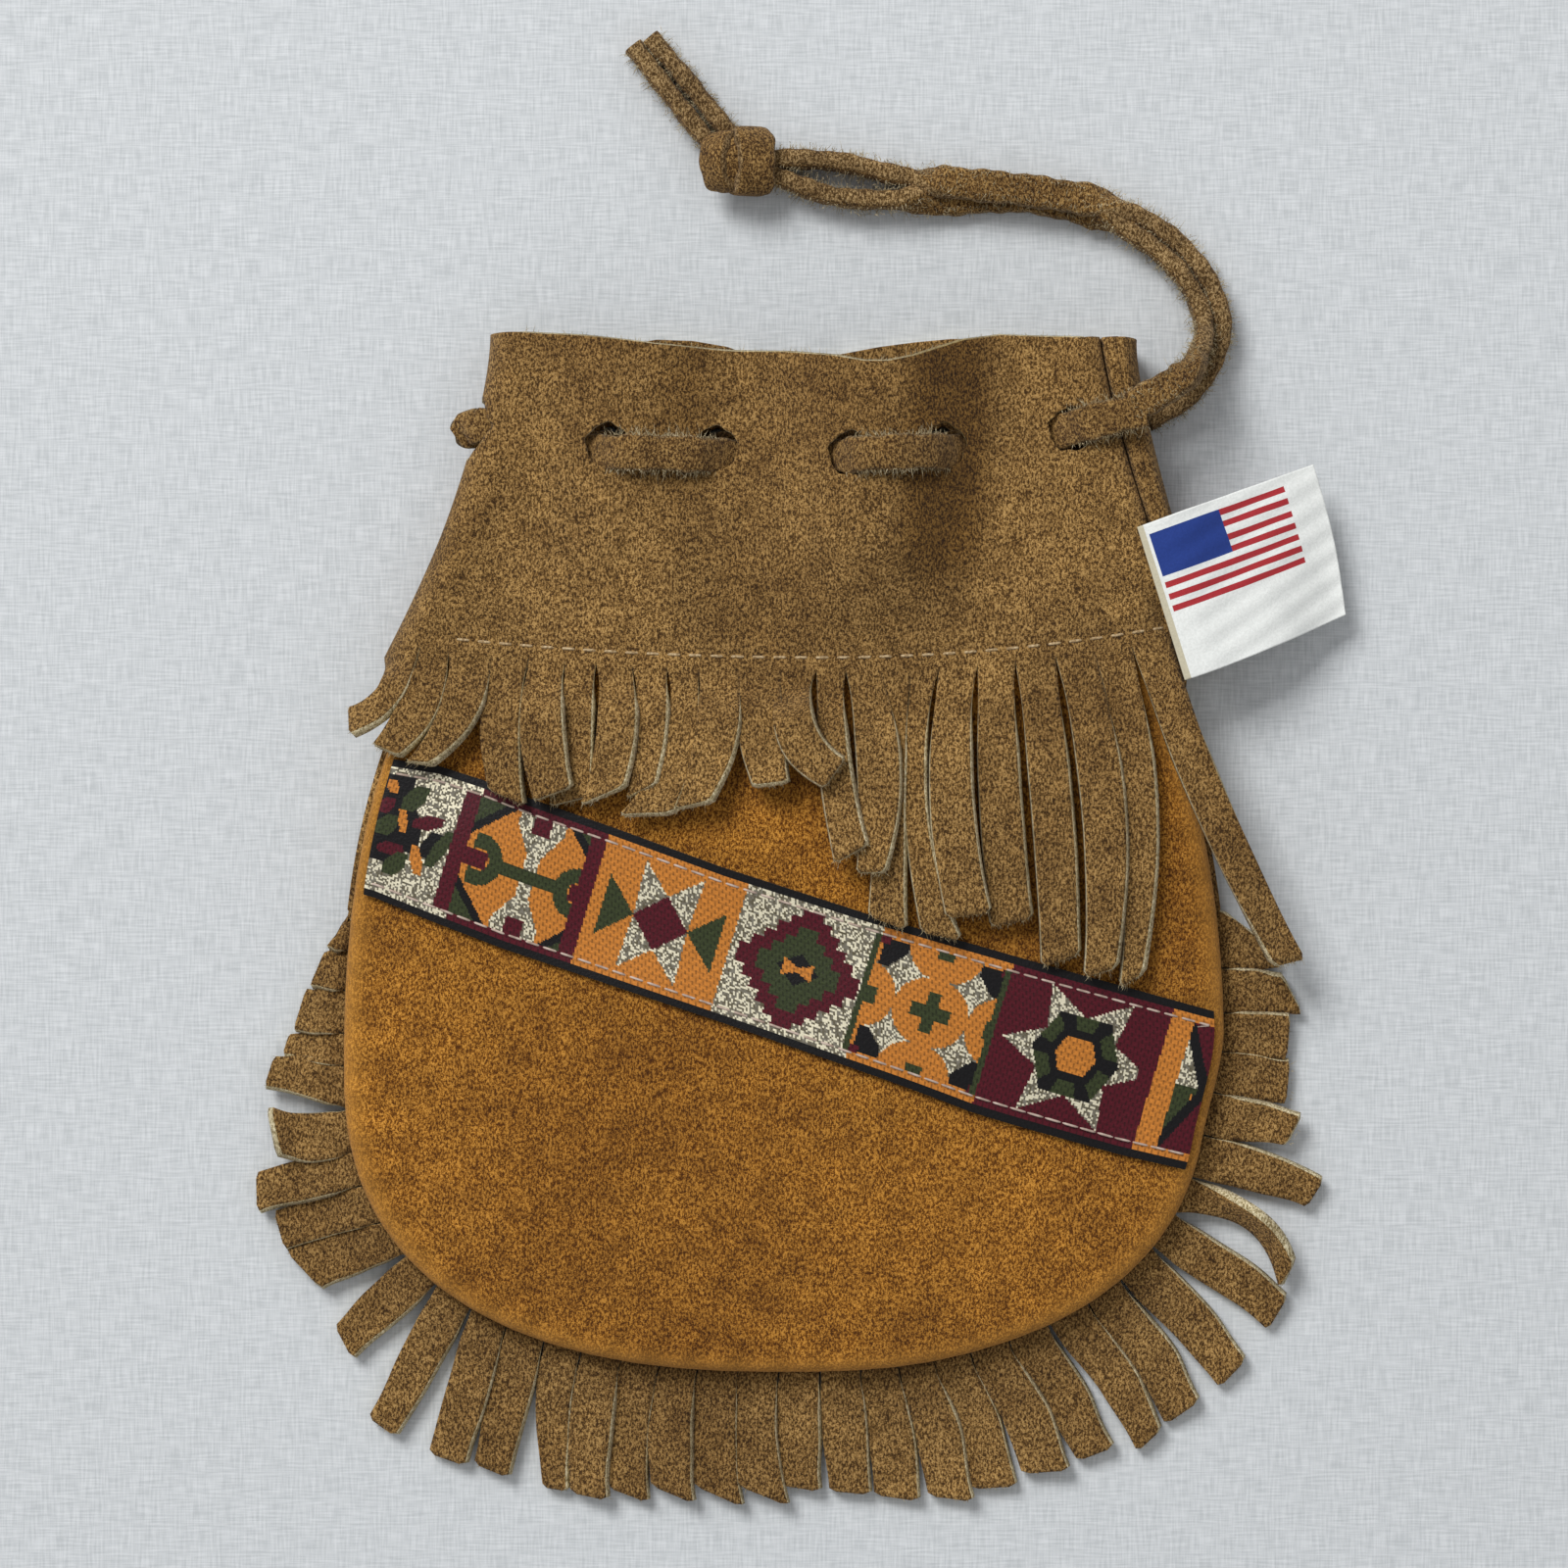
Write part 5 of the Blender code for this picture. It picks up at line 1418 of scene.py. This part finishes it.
# Where each motif ends along the ribbon in mm, its middle, its border yarn, its bar's yarn
MOTIFS = (
    (13.4, 8.0, GLITTER, BURGUNDY, shards),
    (32.3, 22.9, BURGUNDY, BURGUNDY, hooked_cross),
    (53.2, 42.8, ORANGE, ORANGE, diamond_star),
    (73.4, 63.3, GLITTER, OLIVE, stepped_diamond),
    (92.5, 83.0, ORANGE, OLIVE, crossed_corners),
    (116.2, 104.6, BURGUNDY, BURGUNDY, six_point_star),
    (140.0, 121.5, ORANGE, ORANGE, end_zigzag),
)
BAR = 2.3
THIN_BAR = 0.9


def woven_pattern(along, across):
    """The yarn at each crossing. along and across are in mm, across from the middle."""
    yarn = BLACK
    inside = RIBBON_WIDTH / 2 - np.abs(across)
    start = -10.0
    for end, middle, border, bar, motif in MOTIFS:
        width = BAR if bar == BURGUNDY else THIN_BAR
        bars, edges = (along > end - width, bar), (inside < BORDER, border)
        field = layered(motif(along - middle, across), bars, edges)
        yarn = layered(yarn, ((along >= start) & (along < end), field))
        start = end
    return layered(yarn, (inside < SELVEDGE, BLACK))


print("motifs on the ribbon:", len(MOTIFS))

# %% Weave the ribbon
def ribbon_place(share, v):
    """Plan place: share is -1 to 1 from one side seam to the other, v is 0 to 1 from
    the lower edge to the upper. The ends follow the body's outline."""
    edge = 1 - 0.5 * EDGE_ROLL / INSET_REFERENCE
    x = share * BODY_HALF_WIDTH
    for _ in range(8):
        y = np.interp(x, LOWER_X, LOWER_Y)
        y = y + (np.interp(x, UPPER_X, UPPER_Y) - y) * v
        down = np.clip(-y, 0, None) / BODY_ROUND_DEPTH
        reach = np.clip(edge**BODY_ROUNDNESS - down**BODY_ROUNDNESS, 0, None)
        x = share * half_width(y) * reach ** (1 / BODY_ROUNDNESS)
    return x, y


RIBBON_LENGTH = 128.0
RIBBON_FALL = math.radians(17)
GLEAMING = 0.60
lengthwise = np.linspace(-1, 1, int(RIBBON_LENGTH / THREAD) + 1)
crosswise = np.linspace(0, 1, int(RIBBON_WIDTH / THREAD) + 1)
share, v = np.meshgrid(lengthwise, crosswise)
ribbon_x, ribbon_y = ribbon_place(share, v)
ribbon_z = front_level(ribbon_x, ribbon_y) + HALF + CLEARANCE + RIBBON_THICK / 2
ribbon_points = np.stack([lean_in(ribbon_x, ribbon_y), ribbon_y, ribbon_z], 2).reshape(-1, 3)
ribbon_faces = grid_faces(numbered(share.shape))
crossings = ribbon_points[ribbon_faces].mean(axis=1)
along = (crossings[:, 0] * math.cos(RIBBON_FALL) - crossings[:, 1] * math.sin(RIBBON_FALL)) / MM
across = (v.ravel()[ribbon_faces].mean(axis=1) - 0.5) * RIBBON_WIDTH
along = along - along.min()
yarn = woven_pattern(along, across)
row, column = np.divmod(np.arange(len(ribbon_faces)), share.shape[1] - 1)
chance = np.random.default_rng(7)
twill = np.where((column + 2 * (row // 2)) % 4 == 0, 0.55, 1.0) * np.where(row % 3 == 0, 0.86, 1.06)
colour = YARNS[yarn] * (twill * chance.uniform(0.88, 1.12, len(yarn)))[:, None]
speck = chance.uniform(0, 1, len(yarn))
light = np.array(srgb(232, 224, 196))[:3]
dark = np.array(srgb(88, 80, 58))[:3]
speckle = np.where((speck > GLEAMING)[:, None], light, dark + (speck * 0.18)[:, None])
colour = np.where((yarn == GLITTER)[:, None], speckle, colour)
gleam = ((yarn == GLITTER) & (speck > GLEAMING)).astype(float)


def colour_corners(piece, colour, shine):
    """Stores one colour for each face at its corners, with how metallic it is as alpha."""
    corners = np.empty((len(colour), 4), np.float32)
    corners[:, :3] = np.clip(colour, 0, 1)
    corners[:, 3] = shine
    layer = piece.data.color_attributes.new("yarn", "FLOAT_COLOR", "CORNER")
    layer.data.foreach_set("color", np.repeat(corners, 4, axis=0).ravel())


def yarn_finish(name, roughness, bump_scale, bump_depth):
    """A cloth whose colour is stored on it, with a fine thread bump."""
    made = Finish(name, roughness, sheen=0.05)
    yarn = made.stored("yarn")
    made.tree.links.new(yarn.outputs["Alpha"], made.shader.inputs["Metallic"])
    return made.finish(yarn.outputs["Color"], made.noise(bump_scale), 0.5, bump_depth)


jacquard = yarn_finish("jacquard_ribbon", 0.50, 2600.0, 0.00015)
ribbon = mesh_piece("woven_ribbon_cloth", ribbon_points, ribbon_faces, jacquard)
ribbon.data.shade_flat()
colour_corners(ribbon, colour, 0.35 * gleam)
thicken(ribbon, RIBBON_THICK, rim=0)
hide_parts("woven_ribbon")
print("thread crossings:", len(ribbon_faces))

# %% [markdown]
# ## Sewing thread
#
# A stitch is a short length of thread that is thickest in its middle and dips
# into the leather at both ends. All stitches of a row are made in one array:
# stitch by ring by side.


# %% Stitches along a line
def stitch_row(name, line, surface, pitch, length, radius, finish):
    """A row of stitches on a surface. line is a plan curve as an array of places, and
    surface gives the height to lie on. Gives the number of stitches."""
    run = distance_along(line)
    middles = np.arange(pitch / 2, run[-1], pitch)
    t = np.linspace(-1, 1, 7)
    s = middles[:, None] + t * length / 2
    x, y = np.interp(s, run, line[:, 0]), np.interp(s, run, line[:, 1])
    dx, dy = np.gradient(x, axis=1), np.gradient(y, axis=1)
    size = np.hypot(dx, dy)
    angle = np.linspace(0, 2 * math.pi, 7)[:-1]
    thick = radius * (1 - 0.55 * t**6)
    drop = radius * 1.5 * t**6
    wide, high = np.cos(angle), np.sin(angle)
    px = x[..., None] + (-dy / size)[..., None] * wide * thick[:, None]
    py = y[..., None] + (dx / size)[..., None] * wide * thick[:, None]
    pz = (surface(x, y) + radius * 0.35 - drop)[..., None] + high * thick[:, None]
    points = np.stack([px, py, pz], 3)
    ids = numbered(points.shape[:3])
    ids = np.concatenate([ids, ids[..., :1]], axis=2)
    faces = [ids[:, :-1, :-1], ids[:, 1:, :-1], ids[:, 1:, 1:], ids[:, :-1, 1:]]
    faces = np.stack([f.ravel() for f in faces], 1)
    row = mesh_piece(name, points.reshape(-1, 3), faces, finish)
    return len(middles)


thread = Finish("cream_thread", 0.7, sheen=0.1)
twist = thread.noise(3000.0, 1.0)
cream = thread.finish(thread.ramp(twist, (0.35, srgb(150, 122, 82)), (0.65, srgb(206, 182, 142))),
                      twist, 0.5, 0.0001)
pale = Finish("ribbon_thread", 0.6)
pale_thread = pale.finish(
    pale.ramp(pale.noise(900.0, 1.0), (0.35, srgb(168, 146, 132)), (0.65, srgb(206, 186, 172)))
)
line_x = np.linspace(-0.0470, 0.0555, 200)
seam_line = np.stack([line_x, stitch_level(line_x)], 1)
count = stitch_row(
    "band_stitches", seam_line, lambda x, y: yoke_level(x, y) + HALF - STITCH_SINK,
    pitch=0.0030, length=0.0021, radius=0.00020, finish=cream,
)
print("band stitches:", count)
for name, v in (("ribbon_stitches_lower", 0.095), ("ribbon_stitches_upper", 0.905)):
    row_x, row_y = ribbon_place(np.linspace(-0.99, 0.99, 300), v)
    count = stitch_row(
        name, np.stack([lean_in(row_x, row_y), row_y], 1),
        lambda x, y: front_level(x, y) + HALF + CLEARANCE + RIBBON_THICK,
        pitch=0.0026, length=0.00235, radius=0.00017, finish=pale_thread,
    )
    print(name, count)

# %% [markdown]
# ## The label
#
# A small folded cloth label is caught in the right seam. It is a patch stretched
# between four corners, with a soft wave, and its print is stored on the cloth.
# Only plain fields of colour are printed: the rest of it is bare.

# %% Label
LABEL_CORNERS = np.array([(49.9, 76.9), (75.5, 86.2), (80.4, 64.8), (58.8, 55.3)]) * MM
u, w = np.meshgrid(np.linspace(0, 1, 126), np.linspace(0, 1, 106))
top_edge = LABEL_CORNERS[0] + (LABEL_CORNERS[1] - LABEL_CORNERS[0]) * u[..., None]
low_edge = LABEL_CORNERS[3] + (LABEL_CORNERS[2] - LABEL_CORNERS[3]) * u[..., None]
plan = top_edge + (low_edge - top_edge) * w[..., None]
plan[..., 0] += 0.0006 * np.sin(math.pi * w) * u - 0.0020 * w * (1 - u) ** 4
ends_y = np.array([LABEL_CORNERS[0][1], YOKE_STITCH])
upper_level, lower_level = yoke_level(seam_x(ends_y) - 0.003, ends_y)
level = upper_level + (lower_level - upper_level) * w + HALF + CLEARANCE + LABEL_THICK
droop = 0.0003 * smooth(u * 6) - 0.0070 * smooth((u - 0.10) / 0.95) ** 1.1
wave = 0.00035 * np.sin(9 * u + 3 * w) * smooth(u * 3)
crease = 0.00012 * np.sin(26 * u - 9 * w) + 0.00008 * np.sin(40 * w + 11 * u)
label_z = np.maximum(level + droop + wave + crease * smooth(u * 4), LABEL_THICK)
label_faces = grid_faces(numbered(u.shape))
fu, fw = u.ravel()[label_faces].mean(axis=1), w.ravel()[label_faces].mean(axis=1)
field = (fu > 0.050) & (fu < 0.81) & (fw > 0.070) & (fw < 0.570)
bars = field & (((fw - 0.070) / 0.5 * 13).astype(int) % 2 == 0)
block = field & (fu < 0.43) & (fw < 0.340)
cloth = np.full((len(label_faces), 3), srgb(242, 244, 240)[:3])
for where, tone in ((fu < 0.035, (206, 198, 172)), (bars, (178, 50, 56)), (block, (38, 63, 138))):
    cloth[where] = srgb(*tone)[:3]
worn = chance.uniform(0.93, 1.04, len(cloth))[:, None]
label_finish = yarn_finish("label_cloth", 0.75, 1800.0, 0.00010)
label = sheet_piece("seam_label_cloth", plan[..., 0], plan[..., 1], label_z, label_finish)
colour_corners(label, cloth * worn, 0.0)
thicken(label, LABEL_THICK, rim=0)
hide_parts("seam_label")
print("label faces:", len(label_faces))

# %% [markdown]
# ## Loose fibres
#
# Where suede is cut, its fibres stand out. Each fibre is a three-sided spike with
# one bend, nine triangles in all. They are laid out in one array from places on
# the cut edges and from the directions that the edges face.


# %% Fibres on the cut edges
THREADED_FIBRES = 4500
STRAND_FIBRES = 2400


def fuzz(name, places, ways, longest, thick):
    """Spikes from these places. Each leans at random from the way its edge faces."""
    lean = chance.normal(0, 0.55, places.shape)
    ways = ways / np.linalg.norm(ways, axis=1)[:, None] + lean
    long = (longest * chance.uniform(0.25, 1.0, len(places)) ** 1.5)[:, None]
    side = np.cross(ways, chance.normal(0, 1, places.shape))
    side /= np.linalg.norm(side, axis=1)[:, None]
    third = np.cross(ways, side)
    third /= np.linalg.norm(third, axis=1)[:, None]
    middle = places + ways * long * 0.5
    tip = middle + (ways + chance.normal(0, 0.6, places.shape)) * long * 0.5
    turn = np.radians([0, 120, 240])
    circle = side[:, None] * np.cos(turn)[:, None] + third[:, None] * np.sin(turn)[:, None]
    points = np.concatenate(
        [places[:, None] + circle * thick, middle[:, None] + circle * thick * 0.7, tip[:, None]], axis=1
    )
    points[..., 2] = np.maximum(points[..., 2], 0.00002)
    corners = np.array([
        (0, 1, 4), (0, 4, 3), (1, 2, 5), (1, 5, 4), (2, 0, 3), (2, 3, 5), (3, 4, 6), (4, 5, 6), (5, 3, 6),
    ])
    faces = (np.arange(len(places)) * 7)[:, None, None] + corners
    piece = mesh_piece(name, points.reshape(-1, 3), faces.reshape(-1, 3), fibre)
    print(name, len(places))


def lace_edges(path, turned, width, thick, count):
    """Random places on both edges of a lace, and the ways that they face."""
    wide, deep = lace_frame(path, turned)
    at = chance.integers(2, len(path) - 2, count)
    side = chance.choice([-1.0, 1.0], count)[:, None]
    off = chance.uniform(-0.5, 0.5, count)[:, None]
    return path[at] + wide[at] * side * width * 0.48 + deep[at] * off * thick, wide[at] * side


def tip_edges(rows, count):
    """Random places on the last row of each strip, and the ways that the ends face."""
    places, ways = [], []
    for row in rows:
        at = chance.uniform(0, row.shape[1] - 1, count * row.shape[1] // 9)
        low = np.minimum(at.astype(int), row.shape[1] - 2)
        part = (at - low)[:, None]
        before, last = row[:, low] + (row[:, low + 1] - row[:, low]) * part
        height = chance.uniform(-0.5, 0.5, len(at))[:, None] * SUEDE * [0.0, 0.0, 1.0]
        places.append(last + height)
        ways.append(last - before)
    return np.concatenate(places), np.concatenate(ways)


lace_places, lace_ways = lace_edges(route, np.zeros(len(route)), LACE_WIDTH, LACE_THICK, THREADED_FIBRES)
outside = lace_places[:, 2] > yoke_level(lace_places[:, 0], lace_places[:, 1]) + HALF
fuzz("threaded_fibres", lace_places[outside], lace_ways[outside], longest=0.0012, thick=0.00006)
for strand, _, path, turned in strands:
    for ending, quarter in (("_fibres", 0.0), ("_side_fibres", math.pi / 2)):
        places, ways = lace_edges(path, turned + quarter, STRAND_THICK, STRAND_WIDTH, STRAND_FIBRES)
        fuzz(strand + ending, places, ways, longest=0.0010, thick=0.00005)
fuzz("band_fibres", *tip_edges(tips, 48), longest=0.0008, thick=0.00004)
fuzz("edge_fibres", *tip_edges(edge_tips, 16), longest=0.0005, thick=0.00004)

# %% [markdown]
# ## Sheets, floor and sizes
#
# The floor is a fine pale woven cloth: two noises, each drawn out along one
# direction of its threads.

SHEETS = (
    (front_panel, "laid", (0.138, 0.122), 0.0142, ["edge_fringe_suede"]),
    (back_panel, "laid", (0.124, 0.107), 0.0120, []),
    (edge_fringe, "laid", (0.340, 0.026), 0.0067, ["back_panel_suede"]),
    (yoke, "folded", (0.235, 0.092), 0.0173, ["front_panel_suede"]),
    (ribbon, "laid", (0.1295, 0.0215), None, ["front_panel_suede"]),
    (label, "folded", (0.0285, 0.0215), None, ["neck_band_suede"]),
)


def measure(piece):
    """Prints half of a piece's surface, which is one face of a thin sheet, and its
    lowest and highest places."""
    seen = piece.evaluated_get(bpy.context.evaluated_depsgraph_get())
    mesh = seen.to_mesh()
    areas = np.empty(len(mesh.polygons))
    mesh.polygons.foreach_get("area", areas)
    places = np.empty(3 * len(mesh.vertices))
    mesh.vertices.foreach_get("co", places)
    low, high = places[2::3].min(), places[2::3].max()
    print(piece.name, "mm2:", round(areas.sum() / 2 / MM**2), "from", round(low / MM, 2), "to",
          round(high / MM, 2), "mm up")


for piece, held, flat, area, below in SHEETS:
    measure(piece)
for piece in [threaded] + knot_pieces + [strand for _, strand, _, _ in strands]:
    measure(piece)

# %% Floor
linen = Finish("pale_woven_cloth", 0.95)
warp = linen.noise(3200.0, 1.0, (1.0, 0.08, 1.0))
weft = linen.noise(3200.0, 1.0, (0.08, 1.0, 1.0))
threads = linen.blend(warp, 0.5, weft)
cloth_colour = linen.ramp(threads, (0.34, srgb(196, 200, 202)), (0.66, srgb(221, 224, 226)))
FLOOR_REACH = 2.0
floor_places = FLOOR_REACH * np.array([(-1, -1, 0), (1, -1, 0), (1, 1, 0), (-1, 1, 0)])
floor = mesh_piece(
    "floor", floor_places, [(0, 1, 2, 3)], linen.finish(cloth_colour, threads, 0.5, 0.0002)
)
print("floor from side to side in m:", 2 * FLOOR_REACH)
